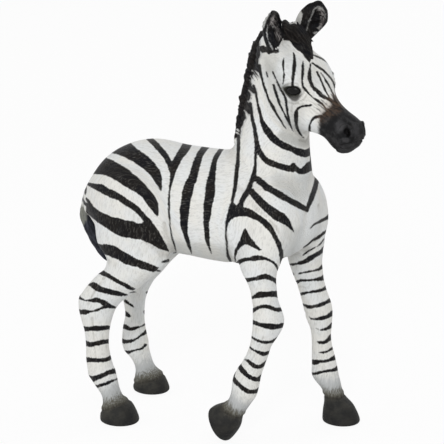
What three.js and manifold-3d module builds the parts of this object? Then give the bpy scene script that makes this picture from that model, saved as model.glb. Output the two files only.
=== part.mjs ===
// A moulded toy zebra foal, walking, with its head turned to its right.
// It is made in eleven pieces that are glued at keyed joints: trunk, neck, head, mane, two ears, tail and
// four legs.
// +X is forward, +Y is the animal's left, +Z is up, and lengths are in millimetres.
// The origin is on the ground, below the middle of the figure.

import * as THREE from "three";
import { mergeVertices } from "three/addons/utils/BufferGeometryUtils.js";
import Module from "manifold-3d";

const wasm = await Module();
wasm.setup();

// Trunk
const trunkLength = 50;
const trunkWidth = 22;
const barrelDepth = 21;
const legLength = 34.2;
const stanceWidth = 19;

// Neck
const neckLength = 24;
const neckDepth = 14.4;
const neckWidth = 10.8;

// Head, whose length runs from the poll to the lips
const headLength = 26.7;
const headDepth = 12;
const headWidth = 10.6;
const eyeWidth = 3.1;
const nostrilLength = 1.9;
const lipGroove = 0.4;
const mouthOpening = 0.36;

// Ears
const earLength = 7.8;
const earWidth = 5;
const earDepth = 3.2;
const earWall = 0.62;

// Mane and tail
const maneHeight = 2.1;
const maneThickness = 2.3;
const maneSeat = 0.9;
const forelockLength = 9.2;
const forelockWidth = 4.8;
const tailLength = 15.6;
const tailWidth = 3.7;

// Legs, measured at the cannon, and hooves
const cannonDepth = 5;
const cannonWidth = 4.4;
const hoofLength = 7.6;
const hoofWidth = 7.1;
const hoofHeight = 3.9;

// Glued joints: the gap that the glue fills, and the keys that find the place
const jointGap = 0.3;
const keyWidth = 3.6;
const keyDepth = 2.2;
const seatSpacing = 8.8;
const overrun = 1;

// Angles
const headTurn = THREE.MathUtils.degToRad(-17);
const headPitch = THREE.MathUtils.degToRad(36);
const toePitch = THREE.MathUtils.degToRad(62);
const earTurn = THREE.MathUtils.degToRad(-22);

// How finely the skins are cut
const trunkSides = 20;
const neckSides = 18;
const headSides = 18;
const legSides = 14;
const hoofSides = 16;
const earSides = 10;
const detailSides = 10;
const slotSides = 12;
const stripSides = 10;
const lockSides = 6;
const tailSides = 18;
const quarterSides = 14;
const keySides = 10;

// Trunk sections from the buttock to the breast: place along the trunk, back, belly and half width, and how
// much narrower the section is at the back than at the ribs
const trunkShares = [
  [0.016, 0.44, 0.34, 0.1, 0],
  [0.042, 0.57, 0.27, 0.36, 0],
  [0.082, 0.7, 0.19, 0.54, 0.02],
  [0.13, 0.85, 0.1, 0.72, 0.05],
  [0.22, 0.985, 0.01, 0.92, 0.08],
  [0.32, 1.045, -0.02, 1.01, 0.1],
  [0.43, 1.015, 0.005, 1.01, 0.12],
  [0.53, 1.01, 0.005, 1.01, 0.12],
  [0.63, 1.01, -0.01, 1.01, 0.12],
  [0.71, 1.05, -0.01, 1, 0.16],
  [0.79, 1.06, 0, 0.96, 0.2],
  [0.87, 1, 0.03, 0.9, 0.2],
  [0.94, 0.86, 0.11, 0.84, 0.08],
  [0.985, 0.76, 0.2, 0.76, 0],
  [1.012, 0.68, 0.3, 0.58, 0],
  [1.028, 0.53, 0.44, 0.1, 0],
];
const trunkRoundShare = 0.9;

// Neck sections from inside the breast to the poll: height, place forward of the neck's foot, half depth,
// half width, and how much of the head's turn the section has
const neckShares = [
  [-0.56, -0.04, 1.02, 1.5, 0],
  [-0.4, -0.04, 1.16, 1.6, 0],
  [-0.22, -0.04, 1.21, 1.46, 0],
  [-0.04, -0.02, 1.12, 1.28, 0],
  [0.105, 0.01, 1.02, 1.12, 0.1],
  [0.29, 0.06, 0.92, 0.98, 0.25],
  [0.5, 0.07, 0.8, 0.92, 0.45],
  [0.69, 0.08, 0.64, 0.86, 0.65],
  [0.84, 0.07, 0.48, 0.76, 0.8],
  [0.93, 0.08, 0.3, 0.5, 0.9],
];
const neckFootShare = 0.842;
const throatShare = 0.12;
// Ends of the neck's seat, behind the withers and at the breast: place along the trunk and height
const neckSeatShares = [
  [0.66, 1.12],
  [1.02, 0.83],
];

// Head sections from the poll to the lips: place along the face, forehead line, jaw line, and half widths
// at the brow, the middle and the jaw
const headShares = [
  [-0.075, -0.14, -0.3, 0.2, 0.24, 0.2],
  [-0.04, 0, -0.5, 0.42, 0.5, 0.42],
  [0.05, 0.11, -0.72, 0.64, 0.76, 0.6],
  [0.16, 0.14, -0.86, 0.82, 0.9, 0.74],
  [0.28, 0.14, -0.95, 1.06, 0.98, 0.86],
  [0.38, 0.12, -1, 1.17, 1, 0.9],
  [0.48, 0.06, -0.98, 0.92, 0.92, 0.84],
  [0.59, -0.01, -0.86, 0.56, 0.78, 0.66],
  [0.7, -0.04, -0.7, 0.42, 0.6, 0.46],
  [0.79, -0.02, -0.62, 0.42, 0.57, 0.44],
  [0.87, 0.01, -0.63, 0.48, 0.62, 0.47],
  [0.935, -0.01, -0.59, 0.46, 0.6, 0.44],
  [0.975, -0.09, -0.49, 0.34, 0.46, 0.34],
  [0.997, -0.18, -0.36, 0.16, 0.22, 0.16],
];
const headFootShare = 0.1;
const browShare = 0.16;
const jawShare = 0.2;

// The eye and the nostril: place on the head and the way each faces, then half sizes along, up and out, as
// shares of the eye's width and the nostril's length, and the middle of the opening in the same shares
const eyeShares = {
  place: [0.455, 0.97, -0.24],
  facing: [0.4, 1, 0],
  lids: [0.7, 0.46, 0.2],
  opening: [0.54, 0.42, 0.34],
  openingCentre: [0, 0.14, 0.2],
  ball: [0.5, 0.34, 0.17],
};
const nostrilShares = {
  place: [0.93, 0.46, -0.15],
  facing: [0.8, 1, 0.25],
  rim: [0.76, 0.56, 0.12],
  opening: [0.5, 0.26, 0.5],
  openingCentre: [0, 0, 0.15],
};
const mouthShares = { place: [0.9, 0, -0.415], size: [0.13, 1.2] };

// Legs from the shoulder or hip to the pastern: place along the trunk, height between hoof, belly and back
// (0, 1 and 2), side, half depth and half width at the cannon's scale, and how far the section is pitched
const forelegLeftShares = [
  [0.905, 1.85, 0.24, 0.4, 0.36, 0],
  [0.918, 1.76, 0.29, 0.72, 0.62, 0],
  [0.926, 1.6, 0.335, 0.86, 0.76, 0],
  [0.926, 1.4, 0.375, 0.92, 0.82, 0],
  [0.915, 1.2, 0.405, 0.86, 0.81, 0],
  [0.906, 1.06, 0.432, 0.76, 0.78, 0],
  [0.903, 0.945, 0.47, 0.68, 0.73, 0],
  [0.916, 0.827, 0.505, 0.59, 0.64, 0],
  [0.926, 0.757, 0.525, 0.55, 0.6, 0],
  [0.94, 0.693, 0.54, 0.6, 0.62, 0],
  [0.949, 0.627, 0.547, 0.6, 0.62, 0],
  [0.952, 0.57, 0.55, 0.55, 0.58, 0],
  [0.96, 0.517, 0.553, 0.45, 0.51, 0],
  [0.962, 0.459, 0.553, 0.395, 0.46, 0],
  [0.966, 0.391, 0.553, 0.42, 0.45, 0],
  [0.972, 0.326, 0.555, 0.49, 0.47, 0],
  [0.978, 0.257, 0.557, 0.535, 0.51, 0],
  [0.98, 0.192, 0.56, 0.59, 0.54, 0],
  [0.991, 0.147, 0.565, 0.57, 0.54, 0.1],
  [1.008, 0.105, 0.567, 0.44, 0.5, 0.2],
  [1.024, 0.06, 0.57, 0.44, 0.51, 0.1],
  [1.038, -0.03, 0.575, 0.48, 0.55, 0],
];
const forelegRightShares = [
  [0.895, 1.85, -0.24, 0.4, 0.36, 0],
  [0.905, 1.76, -0.29, 0.72, 0.62, 0],
  [0.908, 1.6, -0.335, 0.9, 0.76, 0],
  [0.9, 1.4, -0.37, 0.98, 0.82, 0],
  [0.885, 1.22, -0.39, 0.95, 0.81, 0],
  [0.87, 1.1, -0.405, 0.84, 0.79, 0],
  [0.87, 1.035, -0.42, 0.71, 0.74, 0],
  [0.883, 0.97, -0.437, 0.58, 0.66, 0],
  [0.896, 0.91, -0.446, 0.52, 0.58, 0],
  [0.902, 0.843, -0.45, 0.51, 0.56, 0],
  [0.914, 0.777, -0.453, 0.58, 0.59, 0],
  [0.92, 0.725, -0.455, 0.64, 0.62, 0],
  [0.918, 0.669, -0.455, 0.62, 0.6, 0],
  [0.906, 0.603, -0.455, 0.54, 0.54, 0],
  [0.888, 0.527, -0.457, 0.42, 0.47, 0],
  [0.874, 0.454, -0.46, 0.45, 0.45, 0],
  [0.854, 0.377, -0.463, 0.49, 0.47, 0],
  [0.832, 0.3, -0.465, 0.56, 0.53, 0],
  [0.825, 0.235, -0.465, 0.56, 0.55, 0.1],
  [0.82, 0.18, -0.465, 0.52, 0.54, 0.25],
  [0.8, 0.11, -0.466, 0.43, 0.49, 0.55],
  [0.778, 0.045, -0.468, 0.43, 0.51, 0.9],
  [0.748, -0.03, -0.47, 0.48, 0.55, 1.06],
];
const hindLegLeftShares = [
  [0.29, 1.76, 0.22, 0.5, 0.5, 0],
  [0.295, 1.64, 0.27, 1, 0.9, 0],
  [0.3, 1.49, 0.32, 1.35, 1.02, 0],
  [0.302, 1.33, 0.35, 1.6, 1.03, 0],
  [0.305, 1.2, 0.372, 1.66, 0.98, 0],
  [0.306, 1.09, 0.39, 1.62, 0.92, 0],
  [0.29, 0.967, 0.42, 1.2, 0.86, 0],
  [0.232, 0.889, 0.435, 1.14, 0.8, 0],
  [0.184, 0.811, 0.445, 1.14, 0.72, 0],
  [0.158, 0.733, 0.45, 1.0, 0.66, 0],
  [0.136, 0.668, 0.455, 0.82, 0.62, 0],
  [0.124, 0.586, 0.46, 0.64, 0.57, 0],
  [0.122, 0.508, 0.465, 0.48, 0.52, 0],
  [0.124, 0.4, 0.47, 0.41, 0.47, 0],
  [0.12, 0.329, 0.47, 0.5, 0.46, 0],
  [0.122, 0.257, 0.47, 0.58, 0.5, 0],
  [0.124, 0.186, 0.47, 0.61, 0.55, 0],
  [0.134, 0.14, 0.47, 0.58, 0.55, 0.1],
  [0.158, 0.088, 0.47, 0.46, 0.5, 0.2],
  [0.174, 0.036, 0.47, 0.44, 0.51, 0.1],
  [0.186, -0.03, 0.47, 0.48, 0.56, 0],
];
const hindLegRightShares = [
  [0.29, 1.76, -0.22, 0.5, 0.5, 0],
  [0.295, 1.64, -0.27, 1, 0.9, 0],
  [0.3, 1.49, -0.32, 1.35, 1.02, 0],
  [0.302, 1.33, -0.35, 1.6, 1.03, 0],
  [0.305, 1.2, -0.372, 1.66, 0.98, 0],
  [0.31, 1.09, -0.39, 1.62, 0.92, 0],
  [0.342, 0.97, -0.43, 1.3, 0.88, 0],
  [0.318, 0.912, -0.445, 1.15, 0.82, 0],
  [0.268, 0.837, -0.455, 1.12, 0.76, 0],
  [0.22, 0.759, -0.465, 1.07, 0.68, 0],
  [0.176, 0.681, -0.47, 0.94, 0.64, 0],
  [0.162, 0.625, -0.475, 0.82, 0.6, 0],
  [0.16, 0.544, -0.48, 0.67, 0.55, 0],
  [0.164, 0.476, -0.485, 0.53, 0.51, 0],
  [0.166, 0.375, -0.49, 0.48, 0.48, 0],
  [0.172, 0.274, -0.49, 0.56, 0.5, 0],
  [0.188, 0.176, -0.49, 0.62, 0.56, 0],
  [0.206, 0.111, -0.49, 0.53, 0.54, 0.15],
  [0.232, 0.049, -0.49, 0.44, 0.5, 0.2],
  [0.248, -0.03, -0.49, 0.48, 0.56, 0],
];
const heelTaperShare = 0.14;

// Hooves: place of the sole along the trunk and to the side
const forehoofLeftShares = [1.054, 0.578];
const forehoofRightShares = [0.712, -0.47];
const hindHoofLeftShares = [0.204, 0.47];
const hindHoofRightShares = [0.272, -0.5];

// Hoof sections from the sole to inside the pastern: height, place, half length and half width
const hoofShares = [
  [0, 0, 0.97, 0.96],
  [0.1, 0, 1, 1],
  [0.5, -0.07, 0.9, 0.94],
  [0.9, -0.17, 0.78, 0.83],
  [1.02, -0.21, 0.7, 0.77],
  [1.2, -0.24, 0.52, 0.58],
];
const coronetShare = 0.9;
const coronetBackShare = -0.17;
const heelShare = 1.08;
const heelNotchShare = 0.12;
const heelNotchAngle = 0.4;

// Ear sections from the stem to the tip: height, half width and half depth
const earShares = [
  [-0.16, 0.44, 0.5],
  [0, 0.56, 0.7],
  [0.16, 0.76, 0.9],
  [0.38, 0.98, 1],
  [0.6, 0.98, 0.84],
  [0.8, 0.72, 0.58],
  [0.93, 0.38, 0.36],
  [1, 0.1, 0.14],
];
// How wide the hollow of the ear is inside its wall, by height
const earHollowShares = [
  [0.12, 0.12],
  [0.22, 0.62],
  [0.4, 0.96],
  [0.6, 0.98],
  [0.78, 0.84],
  [0.9, 0.4],
];
const earMouthShare = 1.15;
const earPlaceShares = [0.1, 0.74, -0.02];
const earLeanShares = [-0.27, 0.33, 0.9];

// Mane: how high it stands along the crest, from the withers to the poll, and how thick it is
const maneShares = [
  [0.05, 0.1, 0.4],
  [0.15, 0.42, 0.7],
  [0.3, 0.82, 0.9],
  [0.5, 0.95, 1.1],
  [0.69, 0.9, 1.3],
  [0.84, 0.7, 1.4],
  [0.93, 0.45, 1.4],
];
// Forelock: place along the face, how high it stands, and its half width
const forelockShares = [
  [0.0, 0.7, 0.62],
  [0.35, 1, 0.95],
  [0.62, 0.72, 0.9],
  [0.85, 0.4, 0.5],
  [1, 0.16, 0.1],
];
const maneLocks = 15;
const forelockLocks = 7;
const lockGirthShares = [0.9, 0.85, 0.36];
// Locks of hair: those of the mane go by its height and thickness, those of the forelock by its width
const lockWidthShare = 0.5;
const lockProudShare = 0.22;
const lockLeanShare = 0.12;
const lockApartShare = 0.25;
const lockFootShare = 0.2;
const foreLockWidthShare = 0.17;
const foreLockRootShare = 0.12;
const foreLockStaggerShare = 0.4;
const foreLockRiseShare = 1.12;

// Tail sections from the dock to the tip: length, place forward of the dock, half depth and half width
const tailShares = [
  [-0.1, 0.16, 0.42, 0.4],
  [0.03, 0.03, 0.5, 0.46],
  [0.14, -0.01, 0.54, 0.54],
  [0.3, -0.03, 0.66, 0.76],
  [0.48, -0.02, 0.78, 0.95],
  [0.66, 0.05, 0.74, 0.92],
  [0.82, 0.16, 0.52, 0.66],
  [0.94, 0.26, 0.28, 0.34],
  [1, 0.32, 0.08, 0.1],
];
// Where the dock is: place along the trunk and height
const tailPlaceShares = [0.024, 0.52];
const tailRidges = 6;
const tailRidgeShare = 0.07;
const tailTuftShare = 0.4;

// Keys of the legs: place along the trunk and height between belly and back
const foreKeyShares = [0.83, 0.45];
const hindKeyShares = [0.28, 0.42];
const keyTaperShare = 0.85;

// Quarters: the oval of the trunk that goes with a leg, its middle along the trunk and above the belly, and
// its half sizes
const shoulderShares = [0.9, 0.34, 0.14, 0.52];
const haunchShares = [0.29, 0.18, 0.235, 0.64];

// The four legs, each with its limb, its hoof, the quarter it carries and its key
const fore = { quarterShares: shoulderShares, keyShares: foreKeyShares };
const hind = { quarterShares: haunchShares, keyShares: hindKeyShares };
const standing = { pitch: 0 };
const lifted = { pitch: toePitch };
const legPlans = {
  foreleg_left: { ...fore, ...standing, side: 1, shares: forelegLeftShares, hoof: forehoofLeftShares },
  foreleg_right: { ...fore, ...lifted, side: -1, shares: forelegRightShares, hoof: forehoofRightShares },
  hind_leg_left: { ...hind, ...standing, side: 1, shares: hindLegLeftShares, hoof: hindHoofLeftShares },
  hind_leg_right: { ...hind, ...standing, side: -1, shares: hindLegRightShares, hoof: hindHoofRightShares },
};

// Where things lie along, above and beside the figure
const backHeight = legLength + barrelDepth;
const along = (share) => (share - 1 / 2) * trunkLength;
const aboveBelly = (share) => legLength + share * barrelDepth;
const neckFoot = along(neckFootShare);
const neckUp = (share) => backHeight + share * neckLength;
const poll = new THREE.Vector3(neckFoot + headFootShare * neckDepth, 0, neckUp(1));

// A closed skin over rings with the same number of points, with a fan to a pole at each end
function skin(rings, poles = [rings[0], rings.at(-1)].map(middleOf)) {
  const count = rings[0].length;
  const points = [...rings.flat(), ...poles];
  const faces = [];
  const last = (rings.length - 1) * count;
  for (let i = 0; i < count; i++) {
    const next = (i + 1) % count;
    for (let row = 0; row < last; row += count) {
      faces.push(row + i, row + next, row + count + next);
      faces.push(row + i, row + count + next, row + count + i);
    }
    faces.push(points.length - 2, next, i);
    faces.push(points.length - 1, last + i, last + next);
  }
  const geometry = new THREE.BufferGeometry().setFromPoints(points);
  geometry.setIndex(faces);
  return solidOf(geometry);
}

function middleOf(ring) {
  const sum = new THREE.Vector3();
  ring.forEach((point) => sum.add(point));
  return sum.divideScalar(ring.length);
}

// Six times the volume that the faces enclose, negative when they point inwards
function signedVolume(positions, faces) {
  const corners = [new THREE.Vector3(), new THREE.Vector3(), new THREE.Vector3()];
  let sum = 0;
  for (let i = 0; i < faces.length; i += corners.length) {
    corners.forEach((corner, j) => corner.fromArray(positions, corners.length * faces[i + j]));
    sum += corners[0].dot(corners[1].cross(corners[2]));
  }
  return sum;
}

// A geometry with merged vertices as a solid for joining and cutting
function solidOf(geometry) {
  const positions = new Float32Array(geometry.attributes.position.array);
  const faces = new Uint32Array(geometry.index.array);
  if (signedVolume(positions, faces) < 0) {
    faces.reverse();
  }
  return new wasm.Manifold(new wasm.Mesh({ numProp: 3, vertProperties: positions, triVerts: faces }));
}

// A solid back as a geometry
function geometryOf(solid) {
  const mesh = solid.getMesh();
  const geometry = new THREE.BufferGeometry();
  geometry.setAttribute("position", new THREE.BufferAttribute(new Float32Array(mesh.vertProperties), 3));
  geometry.setIndex(Array.from(mesh.triVerts));
  geometry.computeVertexNormals();
  return geometry;
}

const joined = (solids) => solids.reduce((sum, solid) => sum.add(solid));
const cutBy = (solid, tools) => tools.reduce((rest, tool) => rest.subtract(tool), solid);

// Rows of numbers, with smooth rows put between them by the distance from one place to the next
function smoothRows(rows, steps, place) {
  const knots = [0];
  for (let i = 1; i < rows.length; i++) {
    knots.push(knots[i - 1] + place(rows[i]).distanceTo(place(rows[i - 1])));
  }
  const curve = new THREE.CubicInterpolant(knots, rows.flat(), rows[0].length);
  const smooth = [];
  for (let i = 0; i + 1 < rows.length; i++) {
    for (let step = 0; step < steps; step++) {
      const at = knots[i] + ((knots[i + 1] - knots[i]) * step) / steps;
      smooth.push(Array.from(curve.evaluate(at)));
    }
  }
  smooth.push(rows.at(-1));
  return smooth;
}

// The sine and cosine of each point of a ring
function turns(sides) {
  return Array.from({ length: sides }, (_, i) => {
    const angle = (i / sides) * 2 * Math.PI;
    return { angle, sin: Math.sin(angle), cos: Math.cos(angle) };
  });
}

// A sine or cosine pushed towards a squarer curve
const squarer = (value, share) => Math.sign(value) * Math.abs(value) ** share;

// An ellipsoid, with its centre and half sizes given in a frame
function bulb(frame, centre, halves, sides = detailSides) {
  const at = (local) => frame(centre.map((value, i) => value + halves[i] * local[i]));
  const bands = sides / 2;
  const rings = [];
  for (let band = 1; band < bands; band++) {
    const polar = (band / bands) * Math.PI;
    const [reach, girth] = [Math.cos(polar), Math.sin(polar)];
    rings.push(turns(sides).map(({ sin, cos }) => at([reach, girth * cos, girth * sin])));
  }
  return skin(rings, [at([1, 0, 0]), at([-1, 0, 0])]);
}

// The trunk, a loft along the barrel
function trunkForm() {
  const place = ([at]) => new THREE.Vector3(along(at), 0, 0);
  const rows = smoothRows(trunkShares, 2, place);
  const rings = rows.map(([at, back, belly, width, narrow]) => {
    const middle = aboveBelly((back + belly) / 2);
    const depth = ((back - belly) / 2) * barrelDepth;
    return turns(trunkSides).map(({ sin, cos }) => {
      const side = (width * trunkWidth * squarer(cos, trunkRoundShare) * (1 - narrow * sin)) / 2;
      return new THREE.Vector3(along(at), side, middle + depth * squarer(sin, trunkRoundShare));
    });
  });
  return skin(rings);
}

const neckMiddle = ([up, forward]) => new THREE.Vector3(neckFoot + forward * neckDepth, 0, neckUp(up));
const neckRows = smoothRows(neckShares, 2, neckMiddle);

// A point of the neck's skin, from a section and a direction round it, 0 being the throat
function neckPoint(row, { sin, cos }) {
  const [, , depth, width, turn] = row;
  const across = (width * neckWidth * sin * (1 + throatShare * cos)) / 2;
  const point = new THREE.Vector3((depth * neckDepth * cos) / 2, across, 0);
  return point.applyAxisAngle(new THREE.Vector3(0, 0, 1), turn * headTurn).add(neckMiddle(row));
}

function neckForm(clearance = 0) {
  const wider = (row) => {
    const [up, forward, depth, width, turn] = row;
    return [up, forward, depth + (2 * clearance) / neckDepth, width + (2 * clearance) / neckWidth, turn];
  };
  return skin(neckRows.map((row) => turns(neckSides).map((turn) => neckPoint(wider(row), turn))));
}

// The head's frame: along the face, to the left, and up from the forehead
const headBasis = new THREE.Matrix4()
  .makeRotationZ(headTurn)
  .multiply(new THREE.Matrix4().makeRotationY(headPitch));
const onHead = (place) => new THREE.Vector3(...place).applyMatrix4(headBasis).add(poll);
const headSizes = [headLength, headWidth / 2, headDepth];
const headPlace = (shares) => shares.map((share, i) => share * headSizes[i]);

// The bare head, larger by a clearance where it cuts its socket, or smaller to keep a groove shallow
function headForm(clearance = 0) {
  const rows = smoothRows(headShares, 2, ([at]) => new THREE.Vector3(at * headLength, 0, 0));
  const rings = rows.map(([at, forehead, jaw, brow, middle, low]) => {
    const depth = forehead - jaw;
    const outline = [
      [0, forehead],
      [brow, forehead - browShare * depth],
      [middle, (forehead + jaw) / 2],
      [low, jaw + jawShare * depth],
      [0, jaw],
      [-low, jaw + jawShare * depth],
      [-middle, (forehead + jaw) / 2],
      [-brow, forehead - browShare * depth],
    ];
    const centre = [at, 0, (forehead + jaw) / 2];
    const points = outline.map(([side, up]) => grownFrom(centre, [at, side, up], clearance));
    const closed = new THREE.CatmullRomCurve3(points, true, "centripetal");
    return Array.from({ length: headSides }, (_, i) => closed.getPoint(i / headSides));
  });
  const poles = [rows[0], rows.at(-1)].map(([at, forehead, jaw], i) => {
    const place = headPlace([at, 0, (forehead + jaw) / 2]);
    place[0] += (i === 0 ? -1 : 1) * clearance;
    return onHead(place);
  });
  return skin(rings, poles);
}

// A point of the head moved away from the middle of its section by a clearance
function grownFrom(centre, point, clearance) {
  const from = onHead(headPlace(centre));
  const to = onHead(headPlace(point));
  return to.add(to.clone().sub(from).setLength(clearance));
}

// A frame on one side of the face: ahead, up, and out of the skin
function faceFrame({ place, facing }, side) {
  const [forward, left, up] = headPlace(place);
  const foot = new THREE.Vector3(forward, side * left, up);
  const out = new THREE.Vector3(facing[0], side * facing[1], facing[2]).normalize();
  const ahead = new THREE.Vector3(1, 0, 0).addScaledVector(out, -out.x).normalize();
  const above = new THREE.Vector3().crossVectors(ahead, out).multiplyScalar(side);
  return ([along, high, far]) => onHead(foot.clone()
    .addScaledVector(ahead, along)
    .addScaledVector(above, high)
    .addScaledVector(out, far)
    .toArray());
}

// The lids stand round an almond opening in which the eyeball sits
function withEye(head, side) {
  const frame = faceFrame(eyeShares, side);
  const sized = (shares) => shares.map((share) => share * eyeWidth);
  const [ahead, rise, out] = sized(eyeShares.openingCentre);
  const lens = [rise, -rise].map((up) => bulb(frame, [ahead, up, out], sized(eyeShares.opening)));
  const lids = bulb(frame, [0, 0, 0], sized(eyeShares.lids));
  const ball = bulb(frame, [0, 0, 0], sized(eyeShares.ball));
  return head.add(lids).subtract(lens[0].intersect(lens[1])).add(ball);
}

// A nostril opens in a raised rim
function withNostril(head, side) {
  const frame = faceFrame(nostrilShares, side);
  const sized = (shares) => shares.map((share) => share * nostrilLength);
  const rim = bulb(frame, [0, 0, 0], sized(nostrilShares.rim));
  const opening = bulb(frame, sized(nostrilShares.openingCentre), sized(nostrilShares.opening));
  return head.add(rim).subtract(opening);
}

// The mouth is a shallow groove between the lips
function mouthGroove() {
  const [length, width] = headPlace([...mouthShares.size, 0]);
  const slot = bulb(onHead, headPlace(mouthShares.place), [length, width, mouthOpening / 2], slotSides);
  return slot.subtract(headForm(-lipGroove));
}

// The ear's frame on one side of the head: up the ear, across it, and out of its hollow
function earFrame(side) {
  const [forward, left, up] = earLeanShares;
  const axis = new THREE.Vector3(forward, side * left, up).normalize();
  const facing = new THREE.Vector3(1, 0, 0).applyAxisAngle(new THREE.Vector3(0, 0, 1), side * earTurn);
  facing.addScaledVector(axis, -facing.dot(axis)).normalize();
  const across = new THREE.Vector3().crossVectors(axis, facing);
  const foot = headPlace(earPlaceShares);
  foot[1] *= side;
  return ([high, wide, deep]) => {
    const point = new THREE.Vector3(...foot);
    point.addScaledVector(axis, high).addScaledVector(across, wide).addScaledVector(facing, deep);
    return onHead(point.toArray());
  };
}

const earRows = smoothRows(earShares, 2, ([high]) => new THREE.Vector3(high * earLength, 0, 0));

function earForm(side, clearance = 0) {
  const frame = earFrame(side);
  const rings = earRows.map(([high, width, depth]) => turns(earSides).map(({ sin, cos }) => frame([
    high * earLength,
    ((width * earWidth) / 2 + clearance) * sin,
    ((depth * earDepth) / 2 + clearance) * cos,
  ])));
  const foot = earRows[0][0] * earLength - clearance;
  return skin(rings, [frame([foot, 0, 0]), frame([earLength + clearance, 0, 0])]);
}

// The hollow keeps the wall's thickness at the sides and behind, and opens at the front
function earHollow(side) {
  const frame = earFrame(side);
  const knots = earShares.map(([high]) => high);
  const outer = new THREE.CubicInterpolant(knots, earShares.flat(), earShares[0].length);
  const rows = smoothRows(earHollowShares, 1, ([high]) => new THREE.Vector3(high * earLength, 0, 0));
  const rings = rows.map(([high, fullness]) => {
    const [, width, depth] = outer.evaluate(high);
    const halfWidth = fullness * ((width * earWidth) / 2 - earWall);
    const mouth = (earMouthShare * depth * earDepth) / 2;
    const halfDepth = fullness * ((mouth + (depth * earDepth) / 2 - earWall) / 2);
    return turns(earSides).map(({ sin, cos }) => frame([
      high * earLength,
      halfWidth * sin,
      mouth - halfDepth + halfDepth * cos,
    ]));
  });
  return skin(rings);
}

// A lock of hair: a small spike with a round foot, from one point to another
function lock(from, to, across, width, flat) {
  const axis = new THREE.Vector3().subVectors(to, from);
  const side = across.clone().addScaledVector(axis, -across.dot(axis) / axis.lengthSq()).normalize();
  const out = new THREE.Vector3().crossVectors(axis, side).normalize();
  const rings = lockGirthShares.map((girth, i) => {
    const centre = new THREE.Vector3().lerpVectors(from, to, (i + 1 / 2) / lockGirthShares.length);
    return turns(lockSides).map(({ sin, cos }) => centre.clone()
      .addScaledVector(side, width * girth * cos)
      .addScaledVector(out, flat * girth * sin));
  });
  return skin(rings, [from, to]);
}

// The crest's line: places on the skin, the way to its side, and how high and thick the mane is there
function crestStations() {
  const knots = neckShares.map(([up]) => up);
  const sections = new THREE.CubicInterpolant(knots, neckShares.flat(), neckShares[0].length);
  const rows = smoothRows(maneShares, 2, ([up]) => new THREE.Vector3(0, 0, up * neckLength));
  return rows.map(([up, height, thick]) => {
    const section = Array.from(sections.evaluate(up));
    const place = neckPoint(section, { sin: 0, cos: -1 });
    const turn = section.at(-1) * headTurn;
    const side = new THREE.Vector3(0, 1, 0).applyAxisAngle(new THREE.Vector3(0, 0, 1), turn);
    return { place, side, height: height * maneHeight, half: (thick * maneThickness) / 2 };
  });
}

// The forelock's line, from the poll down the forehead
function forelockStations() {
  const knots = headShares.map(([at]) => at);
  const sections = new THREE.CubicInterpolant(knots, headShares.flat(), headShares[0].length);
  const rows = smoothRows(forelockShares, 2, ([at]) => new THREE.Vector3(at * forelockLength, 0, 0));
  return rows.map(([at, height, width]) => {
    const share = (at * forelockLength) / headLength;
    const [, forehead] = sections.evaluate(share);
    const place = onHead(headPlace([share, 0, forehead]));
    const side = new THREE.Vector3(0, 1, 0).transformDirection(headBasis);
    return { place, side, height: height * maneHeight, half: (width * forelockWidth) / 2 };
  });
}

// A strip of hair standing on a line of stations, its foot sunk into the skin by the seat
function strip(stations, clearance) {
  const rings = stations.map(({ place, out, side, height, half }) => {
    const middle = place.clone().addScaledVector(out, (height - maneSeat) / 2);
    const deep = (height + maneSeat) / 2 + clearance;
    return turns(stripSides).map(({ sin, cos }) => middle.clone()
      .addScaledVector(out, deep * cos)
      .addScaledVector(side, (half + clearance) * sin));
  });
  const ends = [rings[0], rings.at(-1)].map(middleOf);
  const lengthwise = new THREE.Vector3().subVectors(ends[0], middleOf(rings[1])).setLength(clearance);
  const onward = new THREE.Vector3().subVectors(ends[1], middleOf(rings.at(-2))).setLength(clearance);
  return skin(rings, [ends[0].add(lengthwise), ends[1].add(onward)]);
}

// One line runs up the crest, over the poll and down the forehead, and the hair stands square to it
function hairStations() {
  const crest = crestStations();
  const forelock = forelockStations();
  const [before, after] = [crest.at(-1), forelock[0]];
  const over = {
    place: new THREE.Vector3().addVectors(before.place, after.place).divideScalar(2),
    side: new THREE.Vector3().addVectors(before.side, after.side).normalize(),
    height: (before.height + after.height) / 2,
    half: (before.half + after.half) / 2,
  };
  const all = [...crest, over, ...forelock];
  all.forEach((station, i) => {
    const [back, on] = [all[Math.max(i - 1, 0)], all[Math.min(i + 1, all.length - 1)]];
    const onward = new THREE.Vector3().subVectors(on.place, back.place);
    station.out = onward.cross(station.side).normalize();
  });
  return { forelock, upright: all.slice(0, crest.length + 2), all };
}

// A place between two stations
function between(stations, share) {
  const at = share * (stations.length - 1);
  const low = Math.min(Math.floor(at), stations.length - 2);
  const part = at - low;
  const [a, b] = [stations[low], stations[low + 1]];
  return {
    place: new THREE.Vector3().lerpVectors(a.place, b.place, part),
    out: new THREE.Vector3().lerpVectors(a.out, b.out, part).normalize(),
    side: new THREE.Vector3().lerpVectors(a.side, b.side, part).normalize(),
    height: THREE.MathUtils.lerp(a.height, b.height, part),
    half: THREE.MathUtils.lerp(a.half, b.half, part),
    onward: new THREE.Vector3().subVectors(b.place, a.place).normalize(),
  };
}

// Upright locks in two staggered rows along the crest and over the poll
function crestLocks(stations) {
  return Array.from({ length: maneLocks }, (_, i) => {
    const at = between(stations, (i + 1) / (maneLocks + 1));
    const offset = (i % 2 === 0 ? 1 : -1) * lockApartShare * at.half;
    const from = at.place.clone()
      .addScaledVector(at.out, lockFootShare * at.height)
      .addScaledVector(at.side, offset);
    const to = at.place.clone()
      .addScaledVector(at.out, (1 + lockProudShare) * at.height)
      .addScaledVector(at.onward, lockLeanShare * maneHeight)
      .addScaledVector(at.side, offset);
    return lock(from, to, at.onward, lockWidthShare * maneHeight, at.half);
  });
}

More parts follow.
